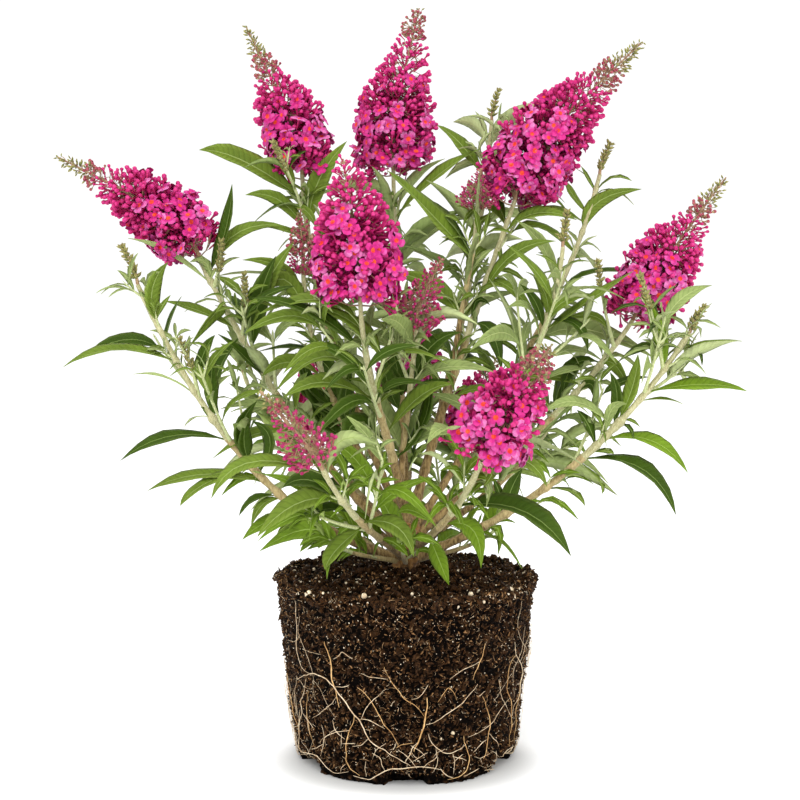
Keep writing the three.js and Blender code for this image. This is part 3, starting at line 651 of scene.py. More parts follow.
# leaves that can be told apart: stem, where root, bend and tip show, how far the tip lies behind the root,
# the lean of the face towards the viewer, kind of leaf and half its width as a share of its length
knownLeaves = (
    ("left_outer", (137, 297), (117, 287), (96, 293), 0, -15, "mid", 0.09),
    ("left_outer", (167, 366), (116, 349), (63, 367), -10, 25, "mid", 0.1),
    ("left_outer", (195, 393), (165, 377), (133, 374), 5, -15, "mid", 0.09),
    ("left_outer", (208, 417), (195, 417), (184, 427), 5, -10, "sage", 0.1),
    ("left_outer", (203, 382), (203, 355), (215, 335), -8, 25, "deep", 0.15),
    ("left_outer", (222, 442), (169, 436), (120, 461), -15, 22, "deep", 0.1),
    ("left_outer", (246, 456), (241, 428), (257, 401), -10, 45, "deep", 0.17),
    ("left_outer", (249, 461), (244, 440), (248, 419), -14, 45, "deep", 0.17),
    ("left_outer", (262, 470), (270, 440), (252, 421), -3, 40, "deep", 0.14),
    ("left_outer", (257, 488), (202, 474), (147, 491), -12, 25, "mid", 0.11),
    ("left_outer", (233, 482), (204, 484), (180, 506), -25, 20, "mid", 0.1),
    ("low_left", (324, 474), (250, 462), (211, 499), -12, 30, "mid", 0.09),
    ("left_outer", (154, 327), (152, 291), (168, 262), -12, 30, "mid", 0.14),
    ("left_outer", (276, 496), (254, 500), (239, 516), -10, 15, "deep", 0.14),
    ("left_outer", (304, 519), (290, 523), (277, 534), -10, 25, "mid", 0.16),
    ("left_outer", (306, 521), (272, 520), (242, 540), -10, 30, "fresh", 0.13),
    ("left_outer", (328, 536), (313, 540), (300, 552), -8, 30, "fresh", 0.17),
    ("left", (262, 345), (259, 300), (276, 256), -12, 35, "deep", 0.14),
    ("left", (268, 377), (244, 356), (218, 334), -15, 25, "deep", 0.13),
    ("left", (270, 374), (259, 360), (245, 346), -28, -20, "sage", 0.19),
    ("left", (238, 338), (216, 378), (219, 413), -12, 30, "deep", 0.13),
    ("left", (205, 284), (166, 252), (128, 238), -24, -25, "mid", 0.09),
    ("left", (235, 328), (200, 311), (163, 301), -8, 28, "mid", 0.1),
    ("left", (244, 304), (215, 314), (188, 349), -18, 20, "mid", 0.1),
    ("left", (224, 266), (237, 233), (285, 226), 10, 25, "mid", 0.1),
    ("left", (221, 268), (226, 228), (232, 184), -5, 35, "deep", 0.1),
    ("inner_left", (322, 415), (306, 385), (296, 352), -30, 35, "deep", 0.12),
    ("left", (252, 334), (264, 288), (294, 242), -8, 35, "mid", 0.1),
    ("inner_left", (312, 300), (281, 268), (242, 260), -20, 30, "mid", 0.08),
    ("inner_left", (316, 325), (286, 280), (256, 300), -18, 30, "mid", 0.1),
    ("left", (290, 415), (260, 404), (220, 409), -15, 25, "sage", 0.1),
    ("left", (222, 275), (205, 262), (190, 262), -10, 25, "sage", 0.14),
    ("inner_left", (330, 436), (318, 400), (300, 372), 8, 45, "deep", 0.16),
    ("inner_left", (328, 425), (332, 395), (342, 366), 8, 45, "deep", 0.15),
    ("inner_left", (334, 446), (325, 424), (312, 402), 10, 45, "deep", 0.17),
    ("inner_left", (322, 412), (310, 384), (306, 356), 12, 45, "deep", 0.14),
    ("inner_left", (336, 450), (348, 425), (346, 396), 10, 45, "deep", 0.15),
    ("top_middle", (404, 400), (396, 378), (384, 356), -6, 45, "deep", 0.15),
    ("top_middle", (404, 396), (412, 374), (424, 356), -6, 45, "deep", 0.15),
    ("inner_left", (330, 422), (314, 398), (292, 382), 6, 40, "deep", 0.18),
    ("inner_left", (346, 396), (330, 370), (306, 354), 6, 40, "deep", 0.17),
    ("inner_left", (352, 424), (346, 396), (334, 368), 6, 40, "deep", 0.17),
    ("top_middle", (400, 412), (388, 384), (381, 348), -8, 40, "deep", 0.17),
    ("top_middle", (404, 400), (398, 372), (388, 336), -8, 40, "deep", 0.17),
    ("left_outer", (219, 416), (211, 386), (215, 352), -8, 45, "deep", 0.13),
    ("left_outer", (213, 420), (206, 412), (201, 407), -6, 25, "mid", 0.2),
    ("left_outer", (280, 500), (262, 505), (251, 527), -12, 30, "mid", 0.14),
    ("inner_left", (330, 436), (345, 400), (352, 366), -30, 40, "deep", 0.12),
    ("inner_left", (316, 380), (290, 362), (262, 376), -30, 25, "mid", 0.12),
    ("top_left", (291, 200), (244, 161), (199, 150), -34, 50, "mid", 0.1),
    ("top_left", (302, 232), (279, 200), (245, 195), -18, 50, "mid", 0.13),
    ("top_left", (305, 228), (318, 182), (347, 141), -10, 30, "mid", 0.12),
    ("front", (368, 352), (312, 312), (252, 298), -15, 15, "deep", 0.1),
    ("front", (376, 398), (356, 362), (322, 380), -15, -20, "sage", 0.12),
    ("front", (374, 402), (326, 382), (283, 398), -12, 25, "mid", 0.1),
    ("front", (396, 440), (352, 425), (345, 488), -15, 30, "deep", 0.13),
    ("front", (398, 458), (424, 420), (430, 372), -8, 35, "deep", 0.12),
    ("front", (392, 430), (420, 396), (452, 384), -18, 30, "mid", 0.12),
    ("top_right", (460, 265), (430, 212), (388, 171), -25, 20, "mid", 0.11),
    ("top_right", (457, 318), (492, 333), (502, 373), -20, 25, "deep", 0.12),
    ("top_right", (500, 232), (536, 213), (577, 220), -8, 25, "mid", 0.1),
    ("top_right", (470, 290), (513, 254), (556, 241), -12, 25, "mid", 0.1),
    ("top_middle", (405, 217), (438, 175), (480, 149), -5, 25, "mid", 0.1),
    ("upper_rear", (487, 178), (462, 145), (437, 125), 0, 30, "mid", 0.12),
    ("middle", (386, 362), (432, 316), (480, 326), -15, -20, "sage", 0.1),
    ("middle", (409, 396), (428, 350), (461, 332), -5, 30, "deep", 0.11),
    ("right_outer", (656, 398), (702, 384), (747, 391), -5, 28, "fresh", 0.1),
    ("right_outer", (684, 354), (712, 342), (742, 341), 5, 15, "mid", 0.08),
    ("right_outer", (675, 346), (645, 347), (616, 364), 15, 30, "deep", 0.12),
    ("right_outer", (686, 345), (698, 351), (702, 366), -5, 20, "deep", 0.1),
    ("right_outer", (645, 403), (665, 399), (683, 404), 5, 20, "mid", 0.1),
    ("right_outer", (661, 365), (659, 332), (642, 293), -10, 30, "fresh", 0.12),
    ("right_outer", (612, 446), (653, 441), (688, 473), -10, 28, "fresh", 0.11),
    ("right_outer", (592, 466), (643, 469), (676, 515), -18, 22, "deep", 0.11),
    ("right_outer", (588, 474), (599, 480), (602, 494), -5, 20, "mid", 0.12),
    ("right_outer", (550, 491), (572, 491), (585, 506), -8, 10, "mid", 0.13),
    ("right_outer", (484, 526), (499, 530), (498, 555), -10, 35, "fresh", 0.17),
    ("inner_right", (549, 331), (585, 303), (633, 271), -10, 20, "mid", 0.12),
    ("right", (584, 351), (616, 366), (635, 402), -22, 45, "mid", 0.12),
    ("right_outer", (617, 418), (633, 385), (638, 354), -5, 40, "mid", 0.14),
    ("right_outer", (612, 424), (617, 395), (610, 372), -8, 40, "deep", 0.14),
    ("right_outer", (600, 427), (612, 409), (627, 404), -12, 30, "sage", 0.16),
    ("right_outer", (607, 421), (578, 402), (543, 413), -15, 25, "sage", 0.11),
    ("right", (566, 387), (591, 384), (597, 410), -5, 40, "deep", 0.14),
    ("right_outer", (592, 440), (588, 424), (577, 410), -5, 40, "deep", 0.14),
    ("right", (592, 368), (568, 369), (540, 382), -12, 20, "sage", 0.1),
    ("right_outer", (619, 417), (631, 420), (640, 427), -5, 25, "mid", 0.14),
    ("right_outer", (616, 421), (629, 427), (634, 439), -5, 25, "deep", 0.14),
    ("right_outer", (506, 512), (511, 490), (522, 469), 8, 45, "deep", 0.18),
    ("right_outer", (503, 514), (500, 495), (493, 478), 8, 45, "deep", 0.17),
    ("inner_right", (541, 337), (527, 306), (506, 309), -8, 10, "sage", 0.1),
    ("inner_right", (556, 322), (577, 325), (588, 352), -5, 40, "deep", 0.12),
    ("top_right", (484, 278), (512, 289), (537, 318), -15, 35, "mid", 0.1),
    ("top_right", (466, 318), (477, 300), (490, 305), -5, 40, "deep", 0.14),
    ("right", (560, 330), (573, 366), (562, 403), 5, 35, "deep", 0.16),
    ("right_rear", (582, 232), (598, 202), (642, 189), 5, 20, "mid", 0.11),
    ("right_rear", (600, 190), (614, 177), (632, 181), 0, 10, "mid", 0.1),
    ("right_rear", (583, 212), (573, 195), (563, 177), -8, 40, "mid", 0.12),
    ("right_rear", (596, 190), (588, 178), (581, 166), -5, 40, "mid", 0.12),
    ("inner_right", (548, 330), (536, 303), (520, 284), -10, 40, "deep", 0.12),
    ("inner_right", (552, 318), (546, 296), (533, 276), -12, 40, "mid", 0.12),
    ("right_outer", (596, 456), (606, 451), (614, 454), -5, 30, "mid", 0.2),
    ("right_rear", (580, 220), (548, 211), (515, 223), -10, 20, "mid", 0.1),
    ("right_rear", (563, 296), (545, 250), (516, 220), -25, 15, "sage", 0.1),
    ("low_left", (338, 503), (298, 503), (257, 537), -15, 40, "mid", 0.13),
    ("low_left", (338, 503), (310, 480), (283, 487), 10, 40, "deep", 0.17),
    ("low_left", (350, 515), (325, 509), (296, 519), 8, 30, "deep", 0.14),
    ("low_left", (326, 476), (342, 440), (380, 446), -10, -20, "mid", 0.12),
    ("low_left", (362, 521), (396, 526), (414, 557), -25, 40, "mid", 0.16),
    ("low_left", (381, 537), (395, 543), (408, 556), -22, 30, "fresh", 0.15),
    ("low_left", (352, 538), (336, 550), (325, 570), -15, 35, "mid", 0.17),
    ("low_right", (462, 508), (524, 511), (571, 556), -25, 30, "deep", 0.12),
    ("low_right", (474, 456), (450, 428), (427, 444), -48, -15, "sage", 0.1),
    ("low_right", (456, 482), (430, 454), (409, 471), -12, -10, "sage", 0.13),
    ("low_right", (488, 452), (524, 460), (547, 487), 6, 60, "mid", 0.12),
    ("low_right", (473, 482), (489, 485), (486, 507), -10, 25, "sage", 0.16),
    ("low_right", (488, 456), (493, 470), (483, 487), -8, 35, "mid", 0.16),
    ("low_right", (430, 537), (439, 560), (449, 585), -22, 55, "fresh", 0.17),
    ("low_right", (441, 521), (473, 530), (481, 568), -22, 45, "fresh", 0.16),
    ("low_right", (430, 519), (414, 511), (398, 513), -12, 30, "fresh", 0.2),
)
openSky = (  # left, top, right and bottom of the places in the view where no leaf of the rule shows
    (60, 305, 150, 340), (50, 382, 172, 424), (60, 466, 140, 700), (140, 500, 172, 700),
    (172, 515, 236, 700), (236, 557, 275, 700), (40, 215, 110, 280), (0, 270, 90, 340),
    (130, 40, 235, 148), (160, 156, 195, 180), (760, 300, 800, 700), (690, 402, 800, 444),
    (696, 444, 800, 700), (600, 522, 800, 700), (706, 352, 790, 372), (625, 396, 710, 520),
    (120, 380, 204, 506), (645, 60, 700, 180), (645, 195, 690, 228), (606, 210, 652, 246),
    (182, 60, 240, 140), (362, 548, 406, 575),
)
# leaves of the rule that go: those that point outwards on these stems, and long ones that cross a shown bough
clearing = dict(sides=dict(left_outer=-1, right_outer=1), sideways=0.35, crossing=24, frontmost=-150,
                rightmost=228)
shownBoughs = dict(  # boughs that no leaf crosses, and between which heights of the view
    top_right=(195, 330), left=(250, 400), front=(305, 480), right=(312, 410), left_outer=(290, 520),
    right_outer=(320, 520), low_right=(450, 560), low_left=(440, 545), right_rear=(215, 330),
)
toViewer = np.array([0.0, -1.0, 0.0])
knownHalf = 0.88  # how much of the width given above a blade gets


def knownLeaf(number, name, root, bend, tip, behind, lean, tint, half):
    shoot, share, point = nearestOn(name, root, np.linspace(0.02, 1, 300))
    middle = pointAt(bend, point[1] + behind * 0.4)
    end = pointAt(tip, point[1] + behind)
    wall = squareTo(middle - point, shoot["curve"].ray(share)[1])
    start = point + wall * shoot["radiusAt"](share) * leaf["seat"]
    reach, sag = 4 * middle - 3 * start - end, 2 * start + 2 * end - 4 * middle  # through all three
    shoot["joints"].append(share * shoot["curve"].length)
    out, toEye = unit(reach), unit(viewPlace - middle)
    face = squareTo(between(up, toViewer, math.radians(lean)), out)
    while 0 < lean < 85 and (face * toEye).sum() < 0.4:  # its upper side shows
        lean += 5
        face = squareTo(between(up, toViewer, math.radians(lean)), out)
    length = np.linalg.norm(middle - start) + np.linalg.norm(end - middle)
    return dict(root=start, out=out, face=face, droop=0, half=half * knownHalf, length=length,
                keys=(seed, 99, number), reach=reach, sag=sag, share=share, stem=name, depth=0, tint=tint)


def showsInSky(one):
    for share in (0.6, 0.95):
        across, down = seenAt(leafLine(one, share))
        if any(box[0] < across < box[2] and box[1] < down < box[3] for box in openSky):
            return True
    return False


shown = []
for name, (top, bottom) in shownBoughs.items():
    path = curves[name][0].point(np.linspace(0, 1, 60))
    rows = seenAt(path)
    inside = (rows[:, 1] > top) & (rows[:, 1] < bottom)
    shown.append(np.column_stack([rows[inside], path[inside, 1]]))
shown = np.concatenate(shown)


def crossesBough(one):
    tip = leafLine(one, 1)
    if tip[1] < clearing["frontmost"] or tip[0] > clearing["rightmost"]:  # the outermost leaves stay
        return False
    for share in (0.3, 0.5, 0.7, 0.9):
        point = leafLine(one, share)
        near = np.linalg.norm(shown[:, :2] - seenAt(point), axis=1) < (7 if share < 0.8 else 4)
        if (near & (shown[:, 2] > point[1] + 3)).any():
            return True
    return False


def mayStay(one):
    if showsInSky(one) or one["length"] > clearing["crossing"] and crossesBough(one):
        return False
    return one["depth"] or one["out"][0] * clearing["sides"].get(one["stem"], 0) <= clearing["sideways"]


leaves = [one for one in leaves if mayStay(one)]
replacedWithin = 30
for number, entry in enumerate(knownLeaves):  # each takes the place of the nearest leaf of the rule
    known = knownLeaf(number, *entry)
    others = [one for one in leaves
              if one["stem"] == known["stem"] and one["depth"] == 0 and "sag" not in one]
    if others:
        nearest = min(others, key=lambda one: np.linalg.norm(one["root"] - known["root"])
                      + 30 * (1 - (one["out"] * known["out"]).sum()))
        if np.linalg.norm(nearest["root"] - known["root"]) < replacedWithin:
            leaves = [one for one in leaves if one is not nearest]
    leaves.append(known)

turning = dict(rearFrom=70, facing=0.3, share=0.88, amount=0.9)
for one in leaves:  # most leaves seen from below turn their upper side outwards
    toEye = unit(viewPlace - one["root"])
    turnedAway = one["root"][1] < turning["rearFrom"] and (one["face"] * toEye).sum() < turning["facing"]
    if "sag" not in one and turnedAway and chance(*one["keys"][:3], 70) < turning["share"]:
        one["face"] = squareTo(one["face"] + toEye * turning["amount"], one["out"])


def keysAbove(one):  # its own keys and those of the twigs that bear it
    return [one["keys"][:length] for length in range(3, len(one["keys"]) + 1)]


borne = {}
for one in leaves:
    for keys in keysAbove(one):
        borne[keys] = borne.get(keys, 0) + 1
fewestLeaves = {1: 4, 2: 1}  # a twig of each depth that bears fewer goes, with all that it bears
bareTwigs = {twig["keys"] for twig in twigs
             if "spiked" not in twig and borne.get(twig["keys"], 0) < fewestLeaves[twig["depth"]]}
leaves = [one for one in leaves if "sag" in one or not bareTwigs.intersection(keysAbove(one))]
twigs = [twig for twig in twigs if not bareTwigs.intersection(keysAbove(twig))]
say("grown leaves", len(leaves))


# materials

leafTints = dict(  # upper face, underside and midrib of each kind of leaf
    deep=((0.036, 0.07, 0.004), (0.2, 0.265, 0.085), (0.15, 0.215, 0.052)),
    mid=((0.12, 0.18, 0.02), (0.31, 0.38, 0.145), (0.26, 0.335, 0.1)),
    sage=((0.225, 0.288, 0.092), (0.39, 0.45, 0.21), (0.36, 0.42, 0.165)),
    fresh=((0.125, 0.21, 0.012), (0.33, 0.43, 0.12), (0.25, 0.355, 0.07)),
)


def leafFace(name, colour, under=False):
    shader = Shader(name, Specular_IOR_Level=0.05 if under else 0.1)
    across, along = shader.surfaceMap()
    veins = (along * 92 - (across - 0.5).size() * 16).reckon("SINE")
    mottle = shader.cloud(70, 2)
    grain = shader.cloud(1300, 3)
    colourAtEdge = tuple(part * 1.5 + more for part, more in zip(colour, (0.08, 0.08, 0.035)))
    colour = shader.mix(mottle.eased(0.3, 0.7), shade(colour, 0.86), shade(colour, 1.12))
    margin = (across - 0.5).size().eased(0.3, 0.5)
    colour = shader.mix(margin * (0.1 if under else 0.6), colour, shade(colourAtEdge, 1))
    # painted shade: the side veins are painted darker, as the shade lying in their sunken creases
    withPaintedCreaseShade = shader.mix(veins.eased(0.5, 1.0) * (0.1 if under else 0.2), colour, (0.02, 0.04, 0.0, 1))
    height = veins.eased(-0.4, 1.0) * (0.5 if under else -0.6) + grain * 0.35
    return shader.finish(withPaintedCreaseShade, mottle * 0.2 + (0.65 if under else 0.42), shader.bump(height, 0.0005, 0.5))


def ribFace(name, colour):
    shader = Shader(name, Specular_IOR_Level=0.1)
    return shader.finish(shader.mix(shader.cloud(300, 2), shade(colour, 0.85), shade(colour, 1.1)), 0.6)


def barkFace(name, dark, light, lines, depth, roughness=0.8):
    shader = Shader(name, Specular_IOR_Level=0.2, Sheen_Weight=0.15)
    grain = shader.cloud(lines, 4, 0.6, (1, 1, 0.22))
    patches = shader.cloud(70, 3)
    colour = shader.mix(grain.eased(0.3, 0.68), dark, light)
    colour = shader.mix(patches.eased(0.5, 0.75) * 0.4, colour, shade(light, 1.25))
    return shader.finish(colour, roughness, shader.bump(grain, depth))


def petalFace(name, colour, edge, roughness=0.55):
    shader = Shader(name, Specular_IOR_Level=0.16, Subsurface_Weight=0.1, Subsurface_Scale=0.002)
    clouds = shader.cloud(420, 2)
    colour = shader.mix(clouds.eased(0.3, 0.7), colour, edge)
    return shader.finish(colour, roughness, shader.bump(shader.cloud(1800, 2), 0.0002, 0.4))


# leaves

blades = dict(
    smallUpTo=30,
    main=dict(shares=(0, 0.07, 0.17, 0.29, 0.41, 0.54, 0.67, 0.79, 0.9, 1),
              widths=(0.11, 0.14, 0.56, 0.87, 1, 0.97, 0.8, 0.55, 0.27, 0.01),
              columns=(-1, -0.52, -0.05, 0.05, 0.52, 1)),
    small=dict(shares=(0, 0.16, 0.42, 0.68, 0.87, 1), widths=(0.16, 0.5, 1, 0.88, 0.42, 0.03),
               columns=(-1, -0.09, 0.09, 1)),
)
bladeShape = dict(fold=0.26, foldVaries=0.16, belly=0.1, groove=0.05, thickness=0.32, rib=0.45, wave=0.12,
                  waves=11, twist=0.5, knownTwist=0.4, arch=0.13, bend=0.1, uneven=0.055)


def addBlades(piece, group, form):
    rng = np.random.default_rng(len(group))
    roots, outs, faces = (np.array([one[name] for one in group]) for name in ("root", "out", "face"))
    placed = np.array(["sag" in one for one in group])[:, None]
    lengths, droops, halves = (np.array([one[name] for one in group]) for name in ("length", "droop", "half"))
    count = len(group)
    shares = np.array(form["shares"])[None, :]
    columns = np.array(form["columns"])
    rows = shares.shape[1]
    down = -squareTo(up, outs) * (np.hypot(outs[:, 0], outs[:, 1]) * lengths)[:, None]
    arch = (bladeShape["arch"] * rng.uniform(0.4, 1.5, count))[:, None]
    aside = np.cross(outs, up) * (rng.uniform(-1, 1, count) * bladeShape["bend"] * lengths)[:, None]
    reach = outs * lengths[:, None] - down * 4 * arch
    sag = down * (droops[:, None] + 4 * arch) + aside
    reach = np.where(placed, np.array([one.get("reach", one["out"]) for one in group]), reach)[:, None]
    sag = np.where(placed, np.array([one.get("sag", one["out"]) for one in group]), sag)[:, None]
    shares = shares[..., None]
    centre = roots[:, None] + reach * shares + sag * shares**2
    along = unit(reach + sag * 2 * shares)
    shares = shares[..., 0]
    top = squareTo(faces[:, None], along)
    side = np.cross(along, top)
    twist = rng.uniform(-1, 1, count)[:, None] * bladeShape["twist"]
    twist = (twist * np.where(placed, bladeShape["knownTwist"], 1) * shares)[..., None]
    side, top = around(side, top, twist), around(top, -side, twist)
    nibble = 1 + rng.uniform(-1, 1, (count, rows)) * bladeShape["uneven"]
    half = (halves * lengths * rng.uniform(0.84, 1.16, count))[:, None] * nibble * np.array(form["widths"])
    apart = np.abs(columns)
    fold = bladeShape["fold"] + rng.uniform(-1, 1, count) * bladeShape["foldVaries"]
    ripple = np.sin(shares * bladeShape["waves"] + rng.uniform(0, 6.3, (count, 1)))[:, :, None]
    ripple = ripple * apart**2 * bladeShape["wave"] * np.sign(columns)
    lift = fold[:, None, None] * apart + bladeShape["belly"] * np.sin(apart * math.pi) * (apart < 0.9)
    lift = lift - bladeShape["groove"] * (apart < 0.2) + ripple
    upper = centre[:, :, None] + side[:, :, None] * (half[..., None] * columns)[..., None]
    upper = upper + top[:, :, None] * (half[..., None] * lift)[..., None]
    inner = np.flatnonzero(apart < 0.2)
    depth = bladeShape["rib"] * (1 - shares[..., None]) * np.minimum(lengths / 60, 1)[:, None, None]
    depth = np.broadcast_to(depth + bladeShape["thickness"], (count, rows, 2))
    lower = upper[:, :, inner] - top[:, :, None] * depth[..., None]
    width = len(columns)
    points = np.concatenate([upper, lower], 2)
    mapAcross = np.concatenate([columns, columns[inner]]) / 2 + 0.5
    mapAlong = (shares * lengths[:, None] / leaf["length"])[..., None]
    surface = np.stack(np.broadcast_arrays(mapAcross[None, None], mapAlong), -1)
    strips = [(a, a + 1, 2 if apart[a] < 0.2 and apart[a + 1] < 0.2 else 0) for a in range(width - 1)]
    strips += [(width, 0, 1), (width + 1, width, 2), (width - 1, width + 1, 1)]  # underneath: half, rib, half
    step = width + 2
    base = np.arange(rows - 1)[:, None] * step
    quads = [np.hstack([base + a, base + b, base + b + step, base + a + step]) for a, b, _ in strips]
    quads = np.concatenate(quads)
    kinds = np.repeat([kind for _, _, kind in strips], rows - 1)
    piece.add(points, repeated(quads, count, rows * step), np.tile(kinds, count), surface)


tinting = dict(lowTuft=215, sageTufts=0.45, low=200, freshLow=0.35, sage=(0.1, 0.28), mid=0.68)


def tintOf(one):  # fresh low down, more sage towards the tips, deep in between
    if "tint" in one:
        return one["tint"]
    if one["stem"].startswith("foot"):
        return "fresh"
    draw, height = chance(*one["keys"][:3], 60), one["root"][2]
    if one["depth"] == 2:
        return "fresh" if height < tinting["lowTuft"] else ("sage" if draw < tinting["sageTufts"] else "mid")
    if height < tinting["low"] and draw < tinting["freshLow"]:
        return "fresh"
    sage, more = tinting["sage"]
    return "sage" if draw < sage + more * one["share"] else ("mid" if draw < tinting["mid"] else "deep")


def stemNodes(prefix):
    return [node for node in frame["nodes"] if node.startswith(prefix)]


for tint, (upperColour, underColour, ribColour) in leafTints.items():
    piece = Piece("leaves_" + tint)
    for form in ("main", "small"):
        group = [one for one in leaves if tintOf(one) == tint
                 and (one["length"] <= blades["smallUpTo"]) == (form == "small")]
        if group:
            addBlades(piece, group, blades[form])
    materials = [leafFace(f"leaf_{tint}", shade(upperColour, 1)),
                 leafFace(f"leaf_{tint}_under", shade(underColour, 1), True),
                 ribFace(f"rib_{tint}", ribColour)]
    piece.build(materials, "leaf", stemNodes("leaves_") if tint == "mid" else ())


# stems, twigs and the woody crown

limbShape = dict(
    rowStep=1.5, columns=16, square=0.07, swelling=0.2, swellLength=2.4, baseFlare=0.45, flareLength=9,
    oldJoints=(9, 6, 19), woodyUntil=(0.2, 0.6), bark=0.28, furrowScale=0.55, furrowRun=0.28, tanFrom=0.22,
    feltFrom=0.56,
)


def relief(points, scale, amount):  # bark furrows: noise drawn out along the stem
    furrows = [noise.fractal(Vector(point * scale), 0.8, 2.2, 3) for point in points.reshape(-1, 3)]
    return np.array(furrows).reshape(points.shape[:-1]) * amount


def addLimb(piece, shoot, columns, rowStep, kindAt):
    curve, guide, bough = shoot["curve"], shoot["guide"], shoot["depth"] == 0
    rows = max(3, int(curve.length / rowStep))
    shares = np.linspace(0, 1, rows)
    run = shares * curve.length
    radius = np.array([shoot["radiusAt"](share) for share in shares])
    first, below, every = limbShape["oldJoints"]  # joints that have lost their leaves
    bare = np.arange(first, min(shoot["joints"]) - below, every) if shoot["joints"] and bough else []
    for joint in [*shoot["joints"], *bare]:
        swelling = np.exp(-((run - joint) / limbShape["swellLength"]) ** 2)
        radius = radius * (1 + limbShape["swelling"] * swelling)
    radius = radius * (1 + limbShape["baseFlare"] * np.exp(-run / limbShape["flareLength"]))
    corner = np.cos(4 * (evenTurns(columns) - math.radians(shoot["phase"] + 45)))
    woody = 1 - smooth(shares, *limbShape["woodyUntil"]) if bough else np.zeros(rows)
    grid = radius[:, None] * (1 + limbShape["square"] * corner[None, :] * (1 - woody)[:, None])
    if bough:
        wall = ringsAround(curve.ray(shares)[1], guide, columns) * radius[:, None, None]
        drawnOut = (run * limbShape["furrowRun"])[:, None, None] * np.array([0.4, 0.3, 0.86])
        spot = wall + drawnOut + np.array(shoot["keys"][1] * 7.3)
        grid = grid + relief(spot, limbShape["furrowScale"], limbShape["bark"]) * (0.25 + woody)[:, None]
    else:
        grid[-1] = 0.05  # a closed tip
    kinds = np.repeat(kindAt((shares[1:] + shares[:-1]) / 2), columns)
    addTube(piece, curve, guide, shares, grid, kinds, columns)


def stemKind(shoot):  # wood below, tan in the middle, felted green above, changing at the joints
    joints = np.sort(shoot["joints"]) / shoot["curve"].length
    joints = joints if len(joints) > 1 else np.array([0.3, 0.6])
    low, high = np.searchsorted(joints, (limbShape["tanFrom"], limbShape["feltFrom"]))
    first, second = joints[low], joints[min(high, len(joints) - 1)]
    return lambda shares: (shares > first).astype(int) + (shares > second)


branches = Piece("branches")
for shoot in shoots:
    if shoot["depth"] == 0:
        addLimb(branches, shoot, limbShape["columns"], limbShape["rowStep"], stemKind(shoot))

knot = dict(rows=60, columns=60, lumps=3.4)
heights = np.linspace(-3, crown["height"] + 1, knot["rows"])
profile = np.interp(heights, [-3, 0, 5, 13, 27, crown["height"] - 3, crown["height"] + 1],
                    [11.5, crown["flareRadius"] - 3.2, crown["waistRadius"] + 1.2, crown["waistRadius"] + 0.8,
                     crown["knuckleRadius"], crown["knuckleRadius"] * 0.8, 0.4])
ring = ringAt(evenTurns(knot["columns"]), 1, 0)
axis = np.array([crownPoint(height) for height in heights])
lumps = np.array([[noise.fractal(Vector((out * 1.6 + [0, 0, height * 0.16])), 0.8, 2.1, 4) for out in ring]
                  for height in heights]) * knot["lumps"]
wall = axis[:, None] + ring[None] * (profile[:, None] + lumps * smooth(profile, 0, 6)[:, None])[..., None]
branches.add(wall, gridFaces(knot["rows"], knot["columns"], True), 3)
woodMaterials = [
    barkFace("bark_old", (0.11, 0.064, 0.02, 1), (0.37, 0.255, 0.104, 1), 700, 0.0014),
    barkFace("bark_young", (0.24, 0.172, 0.066, 1), (0.48, 0.385, 0.182, 1), 900, 0.0006, 0.7),
    barkFace("stem_felt", (0.29, 0.27, 0.115, 1), (0.52, 0.5, 0.29, 1), 1400, 0.0003, 0.72),
    barkFace("bark_foot", (0.07, 0.028, 0.007, 1), (0.35, 0.18, 0.055, 1), 380, 0.003),
]
branches.build(woodMaterials, "stem", stemNodes("stem_") + ["woody_crown"])

twigShapes = (dict(columns=8, rowStep=2.6), dict(columns=5, rowStep=3))  # of side shoots and of tufts
shootsPiece = Piece("side_shoots")
for shoot in [*(one for one in shoots if one["depth"]), *twigs]:
    tanBelow = footShoots["tanBelow"] if shoot["stem"].startswith("foot") and not shoot["fine"] else 0
    form = twigShapes[shoot["depth"] - 1]
    addLimb(shootsPiece, shoot, **form, kindAt=lambda shares: (shares < tanBelow) * 1)
shootFelt = barkFace("shoot_felt", (0.33, 0.37, 0.13, 1), (0.56, 0.61, 0.33, 1), 1400, 0.0003, 0.7)
shootsPiece.build([shootFelt, woodMaterials[1]], "stem")


# flowers

# a head, with the shares of its length where its open florets, its club buds and its wine buds end
def head(openTo, clubsTo, wineTo, **own):
    usual = dict(bow=blossom["bow"], starts=0.03, slim=1, fuller=0, tail=0.15, sparse=1, clusters=2)
    return dict(usual, openTo=openTo, clubsTo=clubsTo, wineTo=wineTo, **own)


heads = dict(
    left=head(0.5, 0.74, 0.82, bow=0.1, starts=0.1, slim=0.93, fuller=0.35, tail=0.4, clusters=0),
    top_left=head(0.42, 0.66, 0.78, bow=0.1, slim=0.96, tail=0.4), top_middle=head(0.44, 0.8, 0.97),
    top_right=head(0.48, 0.72, 0.82, bow=0.1, tail=0.32), right=head(0.44, 0.7, 0.8, bow=0.07, tail=0.4),
    front=head(0.58, 1, 1, fuller=0.62),
    low_right=head(0.56, 0.74, 0.92, bow=0.08, starts=0.09, slim=0.95, fuller=0.4, clusters=0),
    low_left=head(0, 0.7, 0.8, bow=0.02, starts=0.14, slim=0.93, tail=0.35, sparse=1.3),
    inner_left=head(0, 0.3, 0.85, sparse=1.15), middle=head(0, 0.8, 1, sparse=1.15),
    upper_side=head(0, 0.9, 1, sparse=1.2), rear_left=head(0.5, 0.74, 0.86),
    rear_right=head(0.5, 0.74, 0.86), rear_middle=head(0.5, 0.74, 0.86),
)
flower = dict(
    radius=6.8, tube=8, club=9, stalk=0.34, fullHead=105, level=(5.4, 3.0), budded=0.24, blend=0.15, skirt=14,
    floretRoom=8.3, clubRoom=5.3, innerRoom=6.8, coreRoom=4.6, smallRoom=3.5, clusterReach=13, clusterBuds=11,
)
goldenTurn = 2.39996
